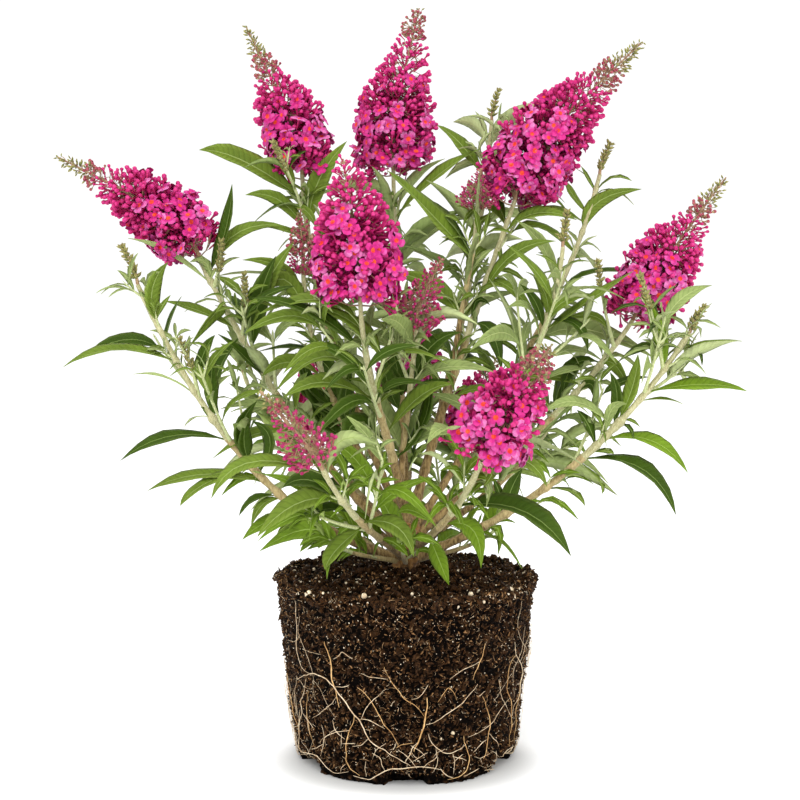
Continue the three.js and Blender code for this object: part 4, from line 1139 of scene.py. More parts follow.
# how far out, how steep, how large, how far back its foot is, how loosely it faces, how far its stalk climbs
budLooks = dict(
    floret=dict(reach=(0.72, 0.97), ahead=(-0.1, 0.5), size=(0.8, 1.04), back=flower["tube"], loose=0.36),
    unopened=dict(reach=(0.85, 1.08), ahead=(0.1, 0.7), size=(0.85, 1.05), back=flower["club"]),
    inner=dict(reach=(0.5, 0.9), ahead=(0, 0.6), size=(0.7, 0.9), back=flower["club"]),
    core=dict(reach=(0.3, 0.72), ahead=(-0.3, 0.8), size=(0.8, 1.4), back=3),
    club=dict(reach=(0.62, 1.08), ahead=(0.25, 0.75), size=(0.84, 1.1), back=flower["club"]),
    small=dict(reach=(0.45, 1.15), ahead=(0.2, 0.9), size=(0.75, 1.15), back=2.4, lag=0.03),
    skirt=dict(reach=(0.75, 1.2), ahead=(-0.5, 0.1), size=(0.75, 1), back=flower["club"]),
)
flatTurn = np.array([1.0, 0.2, 0.1])


def floret(rng):  # four broad rounded lobes round an orange eye, on a slender tube; it faces +Z
    lobes, samples, sides = 4, 5, 5
    total = lobes * samples
    angle = (np.repeat(np.arange(lobes), samples) + np.tile([0, 0.13, 0.36, 0.64, 0.87], lobes)) * math.pi / 2
    own = np.repeat(rng.uniform(0.88, 1.06, lobes), samples)
    curl = np.repeat(rng.uniform(-1.6, 0.5, lobes), samples)
    reach = np.tile([0.42, 0.86, 1, 1, 0.86], lobes) * own * flower["radius"]
    middle = 1.8 + (reach - 1.8) * 0.55
    rows = [(np.full(total, 0.8), -0.3), (np.full(total, 1.75), 0.15),
            (middle, np.tile([-0.1, 0.75, 0.95, 0.95, 0.75], lobes) + curl * 0.2),
            (reach, np.tile([-0.9, 0.1, -0.1, -0.35, 0.3], lobes) + curl)]
    rings = [ringAt(angle, far, height) for far, height in rows]
    eye = np.array([[total - 1 - i, total - 2 - i, i + 1, i] for i in range(total // 2 - 1)])
    tube = [ringAt(evenTurns(sides), *mark) for mark in ((1.4, -0.4), (0.8, -3), (0.7, -flower["tube"]))]
    tubeFaces = gridFaces(3, sides, True)[:, ::-1] + 4 * total
    return dict(points=np.concatenate(rings + tube),
                faces=np.concatenate([eye, gridFaces(4, total, True), tubeFaces]),
                kinds=np.repeat([1, 1, 2, 3, 0], [len(eye), total, total, total, 2 * sides]))


def turnedShape(marks, sides, kinds):  # a small turned body along +Z from [radius, height] marks
    rings = [ringAt(evenTurns(sides), *mark) for mark in marks]
    return dict(points=np.concatenate(rings), faces=gridFaces(len(marks), sides, True),
                kinds=np.repeat(kinds, sides))


clubMarks = [(0.55, -flower["club"]), (0.75, -3.4), (1.0, -2), (1.85, -0.6), (1.65, 1), (0.05, 1.8)]
clubBud = turnedShape(clubMarks, 5, [0, 0, 1, 1, 1])
coreBud = turnedShape([(0.5, -3), (1.9, -0.6), (1.2, 1.6)], 4, [0, 0])
greenBud = turnedShape([(0.4, -2.2), (0.85, -1.1), (1.0, 0.1), (0.6, 1.4), (0.05, 2.6)], 5, [0, 0, 1, 1])
smallBud = turnedShape([(0.45, -2.9), (0.9, -1.6), (1.6, -0.2), (1.35, 1), (0.05, 1.8)], 5, [0, 0, 1, 1])


def spiralSpots(axis, breadth, low, high, room, turn=0.0):  # evenly over the cone between two shares
    if high <= low:
        return []
    shares = np.linspace(low, high, 60)
    areas = 2 * math.pi * breadth(shares) * axis.length * (high - low) / 60
    run = np.concatenate([[0], np.cumsum(areas[1:])])
    count = int(run[-1] / room**2)
    spots = np.interp((np.arange(count) + 0.5) / max(count, 1) * run[-1], run, shares)
    return list(zip(spots, turn + np.arange(count) * goldenTurn))


def outwardAt(axis, share, turn):  # a point on the axis of a head, the way ahead and the way out at a turn
    point, ahead = axis.ray(share)
    side = squareTo(flatTurn, ahead)
    return point, ahead, between(side, np.cross(ahead, side), turn)


def headParts(row, number):  # where every flower, bud and stalk of one head goes
    axis, form = row["axis"], heads[row["name"]]
    openTo, clubsTo, wineTo, starts = (form[name] for name in ("openTo", "clubsTo", "wineTo", "starts"))
    rng = np.random.default_rng(500 + number)
    parts = dict(florets=[], clubs=[], cores=[], wines=[], greens=[], stalks=[])
    scale, sparse = min(1, (axis.length / flower["fullHead"]) ** 0.5), form["sparse"]

    def breadth(share):
        return coneRadius(share, row["spike"]["width"] * form["slim"], form["fuller"], form["tail"])

    run, level, forks = 0.02 * axis.length, 0, []
    while run < axis.length * 0.97:  # crossed pairs of small forks up the rachis
        share = run / axis.length
        far = breadth(share)
        for turnBy in (0, math.pi):
            heading = level * math.pi / 2 + turnBy + rng.uniform(-0.25, 0.25)
            node, ahead, outward = outwardAt(axis, share, heading)
            fork = node + outward * far * 0.3 + ahead * far * 0.22
            forks.append((share, heading, fork))
            parts["stalks"].append((node, (node + fork) / 2 + ahead * 0.4, fork, 0.6 * scale))
        run += np.interp(share, (0, 1), flower["level"]) * scale
        level += 1

    def add(kind, look, share, turn, steeper=0, larger=1, rescaled=1):
        look = budLooks[look]
        reach, ahead = rng.uniform(*look["reach"]), rng.uniform(*look["ahead"]) + steeper
        size = larger * rng.uniform(*look["size"]) * rescaled
        spot, way, outward = outwardAt(axis, share, turn)
        spot = spot + outward * max(breadth(min(share, 1)) * reach, 1.1)
        facing = unit(between(outward, way, ahead) + rng.normal(0, look.get("loose", 0.16), 3))
        foot = spot - facing * look["back"] * size
        below = max(share - look.get("lag", 0.05), 0.02)  # its stalk leaves the nearest fork below it
        fork = min(forks, key=lambda one: abs(one[0] - below) * 14 + 1 - math.cos(one[1] - turn))[2]
        parts[kind].append((spot, facing, size))
        if kind != "cores":
            parts["stalks"].append((fork, (fork + foot) / 2 + outward * 0.4, foot, flower["stalk"]))

    def spots(low, high, room, turn, shareVaries=0, turnVaries=0.3):
        for share, turn in spiralSpots(axis, breadth, low, high, room, turn):
            share += rng.normal(0, shareVaries) if shareVaries else 0
            yield share, turn + rng.normal(0, turnVaries)

    if openTo:
        for share, turn in spots(starts, openTo + flower["blend"], flower["floretRoom"], 0, 0.014, 0.25):
            opened = share < openTo + rng.uniform(-1, 1) * flower["blend"]
            if opened and rng.uniform() > flower["budded"] * (0.5 + share / openTo):
                add("florets", "floret", share, turn, share * 0.6)
            else:
                for _ in range(2):
                    add("clubs", "unopened", share + rng.normal(0, 0.015), turn + rng.normal(0, 0.15))
    for share, turn in spots(starts, max(openTo, starts + 0.1), flower["innerRoom"] * sparse, 1.1):
        add("clubs", "inner", share, turn)
    for share, turn in spots(starts + 0.01, openTo, flower["coreRoom"], 2.2, 0, 0.4):
        add("cores", "core", share, turn)
    room = flower["clubRoom"] * scale * sparse
    for share, turn in spots(max(openTo, starts), clubsTo, room, 0.5, 0.012, 0.25):
        late = (share - openTo) / (clubsTo - openTo)
        add("clubs", "club", share, turn, 0.25 * late, 1 - 0.3 * late, scale)
    for kind, low, high in (("wines", clubsTo, wineTo), ("greens", wineTo, 0.99)):
        for share, turn in spiralSpots(axis, breadth, low, high, flower["smallRoom"], 0.9):
            larger = 1.15 - 0.45 * share
            add(kind, "small", share + rng.normal(0, 0.01), turn + rng.normal(0, 0.3), 0, larger)
    if openTo:  # long buds that hang round the foot of the head, and two side clusters of them
        for i in range(flower["skirt"]):
            turn = i * 2 * math.pi / flower["skirt"] + rng.normal(0, 0.25)
            add("clubs", "skirt", starts + rng.uniform(-0.04, 0.04), turn)
        for i in range(form["clusters"]):
            node, ahead, outward = outwardAt(axis, -0.03, i * math.pi + rng.uniform(-0.5, 0.5))
            way = unit(outward + ahead * rng.uniform(0.1, 0.5))
            fork = node + way * flower["clusterReach"] * rng.uniform(0.7, 1.1)
            parts["stalks"].append((node, (node + fork) / 2 - ahead * 1.2, fork, 0.75))
            for _ in range(flower["clusterBuds"]):
                way = unit(rng.normal(0, 0.75, 3) + outward * 0.9 + ahead * 0.5)
                spot, size = fork + way * rng.uniform(8, 11.5), rng.uniform(0.7, 0.95)
                foot = spot - way * flower["club"] * size
                parts["clubs"].append((spot, way, size))
                parts["stalks"].append((fork, (fork + spot) / 2, foot, flower["stalk"]))
    return parts


petalColours = (  # from dark to pale, each with the colour it clouds towards
    ((0.36, 0.006, 0.12, 1), (0.47, 0.012, 0.165, 1)),
    ((0.43, 0.012, 0.155, 1), (0.54, 0.028, 0.21, 1)),
    ((0.44, 0.026, 0.19, 1), (0.55, 0.075, 0.28, 1)),
    ((0.48, 0.072, 0.26, 1), (0.62, 0.18, 0.4, 1)),
)
petals = [petalFace(f"petal_{i + 1}", *colours) for i, colours in enumerate(petalColours)]
eyeFace = petalFace("petal_eye", (0.6, 0.022, 0.018, 1), (0.8, 0.095, 0.026, 1))
tubeFace = petalFace("petal_tube", (0.36, 0.01, 0.09, 1), (0.52, 0.03, 0.155, 1))
budFace = petalFace("petal_bud", (0.41, 0.011, 0.12, 1), (0.58, 0.042, 0.21, 1))
closedTubeFace = petalFace("petal_closed_tube", (0.3, 0.055, 0.075, 1), (0.44, 0.15, 0.15, 1))
closedBudFace = petalFace("petal_closed_bud", (0.28, 0.01, 0.08, 1), (0.46, 0.045, 0.165, 1))
wineFace = petalFace("bud_wine", (0.19, 0.018, 0.045, 1), (0.38, 0.085, 0.11, 1))
stalkFace = barkFace("flower_stalk", (0.2, 0.09, 0.055, 1), (0.42, 0.29, 0.16, 1), 500, 0.0002)
greenFace = barkFace("bud_green", (0.1, 0.115, 0.025, 1), (0.24, 0.25, 0.07, 1), 500, 0.0003)
greenTipFace = barkFace("bud_green_tip", (0.15, 0.12, 0.035, 1), (0.33, 0.31, 0.1, 1), 500, 0.0002)

shapes = [floret(np.random.default_rng(31 + i)) for i in range(4)]
headRows = [row for row in stems if "axis" in row]
for row in headRows:
    row["axis"] = coneAxis(*curves[row["name"]][0].ray(1), row["spike"]["to"], heads[row["name"]]["bow"])
allParts = {row["name"]: headParts(row, number) for number, row in enumerate(headRows)}


def gathered(names, kind):
    rows = [entry for name in names for entry in allParts[name][kind]]
    return [np.array(column) for column in zip(*rows)]


headGroups = dict(
    florets_front=("front", "low_right", "left", "top_left"),
    florets_side=("top_middle", "top_right", "right"),
    florets_rear=("rear_left", "rear_right", "rear_middle"),
)
for label, names in headGroups.items():
    spots, facings, sizes = gathered(names, "florets")
    piece = Piece(label)
    draw = np.random.default_rng(len(spots))
    tints = draw.choice(3, len(spots), p=(0.25, 0.4, 0.35))
    which = draw.integers(0, len(shapes), len(spots))
    rolls = draw.uniform(0, math.pi, len(spots))
    for i, shape in enumerate(shapes):
        for tint in range(3):  # each floret is a little paler towards the ends of its lobes
            chosen = (which == i) & (tints == tint)
            own = dict(shape, kinds=shape["kinds"] + tint * (shape["kinds"] > 1))
            addCopies(piece, own, spots[chosen], facings[chosen], rolls[chosen], sizes[chosen])
    replaced = stemNodes("flowers_") if label == "florets_front" else ()
    piece.build([tubeFace, eyeFace, *petals], "blossom", replaced)

names = list(allParts)
for label, chosen in (("flower_buds_low", names[:7]), ("flower_buds_high", names[7:])):
    buds = Piece(label)
    spots, facings, sizes = gathered(chosen, "clubs")
    kinds = [np.full(len(allParts[name]["clubs"]), 0 if heads[name]["openTo"] else 2) for name in chosen]
    addCopies(buds, clubBud, spots, facings, np.zeros(len(spots)), sizes, np.concatenate(kinds))
    buds.build([tubeFace, budFace, closedTubeFace, closedBudFace], "blossom")

cores = Piece("inner_buds")
spots, facings, sizes = gathered(names, "cores")
addCopies(cores, coreBud, spots, facings, np.zeros(len(spots)), sizes)
cores.build([petalFace("petal_inner", (0.34, 0.008, 0.095, 1), (0.5, 0.018, 0.15, 1))], "blossom")

wines, greens, stalks = Piece("wine_buds"), Piece("green_buds"), Piece("flower_stalks")
for kind, piece, shape in (("wines", wines, smallBud), ("greens", greens, greenBud)):
    spots, facings, sizes = gathered(names, kind)
    addCopies(piece, shape, spots, facings, np.zeros(len(spots)), sizes)
starts, middles, ends, radii = gathered(names, "stalks")
addStalks(stalks, starts, middles, ends, radii)
for row in headRows:
    shares = np.linspace(0, 0.985, 60)
    addTube(stalks, row["axis"], flatTurn, shares, np.interp(shares, (0, 1), (1.6, 0.5)), 0, 8)

bare = dict(level=3.3, perLevel=4, each=2, thickness=(1.3, 0.4), sideWidth=4.2, sideLength=24)
# the green spikes that don't flower yet, each with half its width and where its buds start
spikes = [(coneAxis(*curves[row["name"]][0].ray(1), row["spike"]["to"]), row["spike"]["width"] / 2, 0.12)
          for row in stems if row["spike"]["kind"] == "green"]
spikes += [(twig["curve"], bare["sideWidth"], 1 - bare["sideLength"] / twig["curve"].length)
           for twig in twigs if "spiked" in twig]
for number, (axis, width, budsFrom) in enumerate(spikes):
    if budsFrom < 0.2:
        addTube(stalks, axis, flatTurn, np.linspace(0, 1, 16), np.linspace(*bare["thickness"], 16), 0, 7)
    rng = np.random.default_rng(900 + number)
    run, level, rows = budsFrom * axis.length, 0, []
    while run < axis.length:
        for turnBy in range(bare["perLevel"]):
            turn = level * math.pi / 4 + turnBy * math.pi / 2
            node, ahead, way = outwardAt(axis, run / axis.length, turn)
            for _ in range(bare["each"]):
                facing = unit(way + ahead * rng.uniform(0.7, 1.5) + rng.normal(0, 0.25, 3))
                far = width * (1 - 0.55 * run / axis.length) * rng.uniform(0.5, 0.95)
                rows.append((node + facing * far, facing, rng.uniform(0.75, 1.15)))
        run += bare["level"]
        level += 1
    spots, facings, sizes = (np.array(column) for column in zip(*rows))
    addCopies(greens, greenBud, spots, facings, np.zeros(len(spots)), sizes)
wines.build([stalkFace, wineFace], "blossom")
greens.build([greenFace, greenTipFace], "blossom")
stalks.build([stalkFace], "blossom")


# root ball

noise.seed_set(seed)  # the crumbs lie the same way in every run
ball = dict(rim=91.8, foot=78, lump=1.2, notches=6, notchWidth=28, notchDepth=9, notchHeight=8,
            columns=430, sideRows=126, topRows=74, bottomRows=(0.02, 0.35, 0.7, 0.9, 0.97), crumb=4.6,
            crumbHeight=2.5, grain=2.1, grainHeight=1.5, topLumps=1.6, edge=4.8, mound=7)


def ballRadius(heading, height):  # the large shape of the side, without its crumbs
    wave = (np.sin(5 * heading + height / 9) * 0.5 + np.sin(11 * heading - height / 14 + 1.2) * 0.3
            + np.sin(17 * heading + height / 5) * 0.2)
    radius = ball["foot"] + (ball["rim"] - ball["foot"]) * height / ballHeight + ball["lump"] * wave
    turn = (heading + math.pi / 2) % (2 * math.pi / ball["notches"])
    turn = np.minimum(turn, 2 * math.pi / ball["notches"] - turn) * ball["foot"]
    inside = (1 - smooth(turn, ball["notchWidth"] / 2 - 1.5, ball["notchWidth"] / 2 + 1)) * (
        1 - smooth(height, ball["notchHeight"] - 1.5, ball["notchHeight"] + 1))
    return radius - ball["notchDepth"] * inside


def crumble(point):  # how far a point stands out, how deep in a crack it is, which the soil's colour turns into painted shade, and the mark of its crumb
    bent = point / ball["crumb"] + np.array(noise.noise_vector(Vector(point / 7))) * 0.5
    near, seeds = noise.voronoi(Vector(bent))
    mark = noise.cell(seeds[0] * 9.7) * 0.5 + 0.5
    lump = min(1, (near[1] - near[0]) / 0.42)
    finer, finerSeeds = noise.voronoi(Vector(point / ball["grain"]))
    speck = noise.cell(finerSeeds[0] * 7.3) * 0.5 + 0.5
    grit = min(1, (finer[1] - finer[0]) / 0.5)
    stands = lump * (0.35 + 0.65 * mark)
    height = ball["crumbHeight"] * (stands - 0.55) + ball["grainHeight"] * (grit * speck - 0.4)
    return height, stands * 0.7 + grit * speck * 0.3, speck


columns = ball["columns"]
heading = evenTurns(columns)
rows = [("bottom", share) for share in ball["bottomRows"]]
rows += [("side", share) for share in np.linspace(0, 1, ball["sideRows"])]
rows += [("top", share) for share in np.linspace(0, 1, ball["topRows"] + 1)[1:]]
grid = np.empty((len(rows), columns, 3))
normals = np.empty_like(grid)
outward = ringAt(heading, 1, 0)
for i, (part, share) in enumerate(rows):
    if part == "bottom":
        radius, height, tilt = ballRadius(heading, 0) * share, 0, 0
    elif part == "side":
        height = share * (ballHeight - 1.6)
        radius, tilt = ballRadius(heading, height), smooth(share, 0.98, 1)
        radius = radius - 0.8 * smooth(share, 0.97, 1) - 1.2 * (1 - smooth(share, 0, 0.03))
    else:
        radius = (ballRadius(heading, ballHeight - 3) - 1.6) * (1 - share) + 0.2
        height, tilt = ballHeight - 1.6 - 1.4 * smooth(share, 0, 0.1), smooth(share, 0, 0.03)
        height += ball["mound"] * smooth(share, 0.05, 0.85)
    grid[i] = outward * np.reshape(radius, (-1, 1)) + up * height
    normals[i] = unit(outward * math.cos(tilt * math.pi / 2) + up * math.sin(tilt * math.pi / 2))
crumbs = np.array([crumble(point) for point in grid.reshape(-1, 3)]).reshape(len(rows), columns, 3)
stands, below = crumbs[..., 0], len(ball["bottomRows"])
stands[:below] *= np.array([0, 0, 0, 0.3, 0.6])[:, None]
stands[below + ball["sideRows"]:] *= ball["topLumps"]
for i, (part, share) in enumerate(rows):  # the broken edge of the top
    near = smooth(share, 0.9, 1) if part == "side" else 1 - smooth(share, 0, 0.12)
    if part != "bottom" and near:
        stands[i] += near * ball["edge"] * np.array([noise.noise(Vector(point / 5.6)) for point in grid[i]])
grid += normals * stands[..., None]
grid[..., 2] = np.maximum(grid[..., 2], 0)
soilPiece = Piece("soil")
# the surface map carries the crack depth, used for the soil's painted shade, and the crumb mark
soilPiece.add(grid, gridFaces(len(rows), columns, True), 0, crumbs[..., 1:])


def soilWithPaintedShade():
    shader = Shader("soil", Specular_IOR_Level=0.04)
    depth, mark = shader.surfaceMap()
    fine, fibre = shader.cloud(1500, 4, 0.65), shader.cloud(420, 3, 0.6, (1, 1, 0.35))
    # painted shade: low in the cracks between crumbs the soil is painted near black, and dark brown on the
    # raised tops
    colour = shader.mix(depth.eased(0.2, 0.9), (0.0015, 0.0006, 0.0002, 1), (0.04, 0.017, 0.0056, 1))
    # browner crumbs where the mark says so: partly their own colour, partly painted light, since they show
    # only on the raised, lit tops
    brown = mark.eased(0.72, 0.95) * depth.eased(0.3, 0.7) * 0.7
    colour = shader.mix(brown, colour, (0.11, 0.056, 0.025, 1))
    # pale grit in its own colour, kept out of the painted shade of the cracks
    pale = fine.eased(0.6, 0.72) * depth.eased(0.2, 0.6) * 0.7
    colour = shader.mix(pale, colour, (0.2, 0.115, 0.058, 1))
    colour = shader.mix(fibre.eased(0.66, 0.74) * 0.6, colour, (0.3, 0.185, 0.095, 1))
    return shader.finish(colour, fine * 0.5 + 0.35, shader.bump(fine, 0.0014, 0.9))


soilPiece.build([soilWithPaintedShade()], "soil", ["root_ball"])


# crumbs, grains and fibres strewn over the root ball

class Strewing(Nodes):  # a Geometry Nodes tree that strews one small shape over a surface
    sizes = (("Density", "NodeSocketFloat"), ("Smallest", "NodeSocketFloat"), ("Largest", "NodeSocketFloat"),
             ("Tilt", "NodeSocketFloat"), ("Seed", "NodeSocketInt"))

    def __init__(self, name, shape, material):
        self.tree = bpy.data.node_groups.new(name, "GeometryNodeTree")
        super().__init__(self.tree)
        face = self.tree.interface
        face.new_socket("Geometry", in_out="INPUT", socket_type="NodeSocketGeometry")
        self.sockets = [face.new_socket(label, in_out="INPUT", socket_type=kind).identifier
                        for label, kind in self.sizes]
        face.new_socket("Geometry", in_out="OUTPUT", socket_type="NodeSocketGeometry")
        given = self.node("NodeGroupInput").outputs
        spots = self.node("GeometryNodeDistributePointsOnFaces", None,
                          {"Mesh": given["Geometry"], "Density": given["Density"], "Seed": given["Seed"]})
        source = self.node("GeometryNodeObjectInfo", None, {"Object": shape})
        tilt = self.node("ShaderNodeCombineXYZ", None,
                         {"X": given["Tilt"], "Y": given["Tilt"], "Z": 2 * math.pi})
        spin = self.random("FLOAT_VECTOR", (0, 0, 0), tilt.outputs["Vector"], given["Seed"])
        size = self.random("FLOAT", given["Smallest"], given["Largest"], given["Seed"])
        turned = self.node("FunctionNodeRotateEuler", dict(rotation_type="EULER", space="LOCAL"),
                           {"Rotation": spots.outputs["Rotation"], "Rotate By": spin})
        copies = self.node("GeometryNodeInstanceOnPoints", None,
                           {"Points": spots.outputs["Points"], "Instance": source.outputs["Geometry"],
                            "Rotation": turned.outputs["Rotation"], "Scale": size})
        real = self.node("GeometryNodeRealizeInstances", None, {"Geometry": copies.outputs["Instances"]})
        last = self.node("GeometryNodeSetMaterial", None,
                         {"Geometry": real.outputs["Geometry"], "Material": material})
        self.plug(self.node("NodeGroupOutput").inputs[0], last.outputs["Geometry"])

    def random(self, kind, low, high, number):
        new = self.node("FunctionNodeRandomValue", dict(data_type=kind))
        places = [one for one in new.inputs if one.enabled]
        for place, value in ((places[0], low), (places[1], high), (places[-1], number)):
            self.plug(place, value)
        return next(one for one in new.outputs if one.enabled)


def strew(name, surface, shape, material, values):
    recipe = Strewing(name, shape, material)
    modifier = surface.modifiers.new(name, "NODES")
    modifier.node_group = recipe.tree
    for identifier, value in zip(recipe.sockets, values):
        modifier[identifier] = value
    surface.update_tag()
    evaluated = surface.evaluated_get(bpy.context.evaluated_depsgraph_get())
    mesh = bpy.data.meshes.new_from_object(evaluated)
    mesh.name = name
    surface.modifiers.remove(modifier)
    settle(linked(name, mesh))


def ground(name, first, last=None):  # some rows of the soil's grid, as a mesh to strew things over
    part = grid[first:last]
    shown = shapeOnly(name, part.reshape(-1, 3), gridFaces(len(part), columns, True))
    bpy.context.collection.objects.link(shown)
    return shown


def shapeOnly(name, points, faces):  # a mesh that is only there to be strewn, or strewn over
    mesh = bpy.data.meshes.new(name)
    corners = [tuple(int(i) for i in face) for face in faces]
    mesh.from_pydata([tuple(point * mm) for point in points], [], corners)
    mesh.update()
    return bpy.data.objects.new(name, mesh)


def chip(name, number, stretch=(1, 1, 1), sides=5):  # an angular grain about 1 mm across
    rng = np.random.default_rng(number)
    rings = [ringAt(evenTurns(sides) + i * 0.5, *mark) * rng.uniform(0.72, 1.28, (sides, 1))
             for i, mark in enumerate(((0.42, -0.22), (0.45, 0.2)))]
    points = np.concatenate([*rings, [[0, 0, -0.45], [0.06, -0.04, 0.42]]]) * np.array(stretch)
    faces = [list(face) for face in gridFaces(2, sides, True)]
    for i in range(sides):
        after = (i + 1) % sides
        faces += [[after, i, 2 * sides], [sides + i, sides + after, 2 * sides + 1]]
    return shapeOnly(name, points, faces)


def thread(name, number):  # a bent thread about 1 mm long
    rng = np.random.default_rng(number)
    aside = rng.uniform(-0.25, 0.25), rng.uniform(-0.35, 0.35)
    curve = Curve((0, 0, -0.12), (0.3, aside[0], 0.16), (0.7, aside[1], 0.2), (1, 0.1, -0.02))
    piece = Piece(name)
    addTube(piece, curve, up, np.linspace(0, 1, 5), np.array([0.022, 0.03, 0.026, 0.022, 0.006]), 0, 3)
    return shapeOnly(name, piece.points[0], piece.faces[0])


def plainFace(name, dark, light, scale, roughness=0.8, depth=0.0005, shine=0.1):
    shader = Shader(name, Specular_IOR_Level=shine)
    clouds = shader.cloud(scale, 3)
    colour = shader.mix(clouds.eased(0.3, 0.7), dark, light)
    return shader.finish(colour, roughness, shader.bump(clouds, depth))


chipDark = plainFace("crumb", (0.0028, 0.001, 0.0003, 1), (0.06, 0.0255, 0.0082, 1), 700, 0.5, 0.0009, 0.08)
chipBrown = plainFace("crumb_brown", (0.064, 0.027, 0.009, 1), (0.33, 0.178, 0.074, 1),
                      600, 0.6, 0.0009, 0.08)
chipPale = plainFace("perlite", (0.52, 0.4, 0.26, 1), (0.9, 0.81, 0.64, 1), 500, 0.75)
threadTan = plainFace("fibre", (0.22, 0.115, 0.05, 1), (0.58, 0.38, 0.2, 1), 300, 0.7)
threadPale = plainFace("fibre_pale", (0.52, 0.36, 0.2, 1), (0.9, 0.74, 0.52, 1), 300, 0.6)
wall = ground("soil_wall", 11, 8 + ball["sideRows"])
crust = ground("soil_crust", 5 + int(ball["sideRows"] * 0.95))
anyWay, lying = 6.28, 0.9  # how far a grain may tilt from the surface
# piece, ground, shape, material, and then grains a square metre, smallest, largest, tilt and seed
for name, surface, shape, material, values in (
    ("crumbs", wall, chip("chip_round", 1), chipDark, (34000.0, 0.9, 3.0, anyWay, 3)),
    ("crumbs_long", wall, chip("chip_long", 2, (2.1, 0.55, 0.36)), chipDark, (60000.0, 1.0, 3.6, lying, 5)),
    ("lumps", crust, chip("chip_lump", 12, (1.3, 0.8, 0.75)), chipDark, (30000.0, 2.4, 6.2, anyWay, 21)),
    ("lumps_brown", crust, chip("chip_lump_brown", 15, (1.8, 0.6, 0.5)), chipBrown,
     (17000.0, 0.8, 3.2, anyWay, 22)),
    ("specks_top", crust, chip("chip_speck_top", 16), chipPale, (22000.0, 0.5, 1.9, anyWay, 23)),
    ("fibres_top", crust, thread("thread_top", 9), threadTan, (14000.0, 2.0, 6.0, lying, 24)),
    ("crumbs_brown", wall, chip("chip_brown", 3, (2.0, 0.55, 0.4)), chipBrown, (42000.0, 0.5, 2.4, lying, 7)),
    ("perlite", crust, chip("chip_pale", 4, (1, 1, 1), 6), chipPale, (1500.0, 1.6, 3.2, anyWay, 8)),
    ("specks", wall, chip("chip_speck", 5), chipPale, (20000.0, 0.35, 1.15, anyWay, 9)),
    ("fibres", wall, thread("thread_tan", 3), threadTan, (62000.0, 1.4, 5.4, 0.8, 11)),
    ("fibres_pale", wall, thread("thread_pale", 6), threadPale, (30000.0, 1.2, 4.8, 0.8, 13)),
):
    strew(name, surface, shape, material, values)
for spare in (wall, crust):
    bpy.data.objects.remove(spare)


# roots over the root ball

roots = dict(count=120, step=1.5, topHeight=88, radius=(0.15, 0.5), branch=0.45, proud=1.4, dip=0.9, kink=0.5,
             stretch=(4, 13), drift=0.1, sideCount=36, thick=0.69)
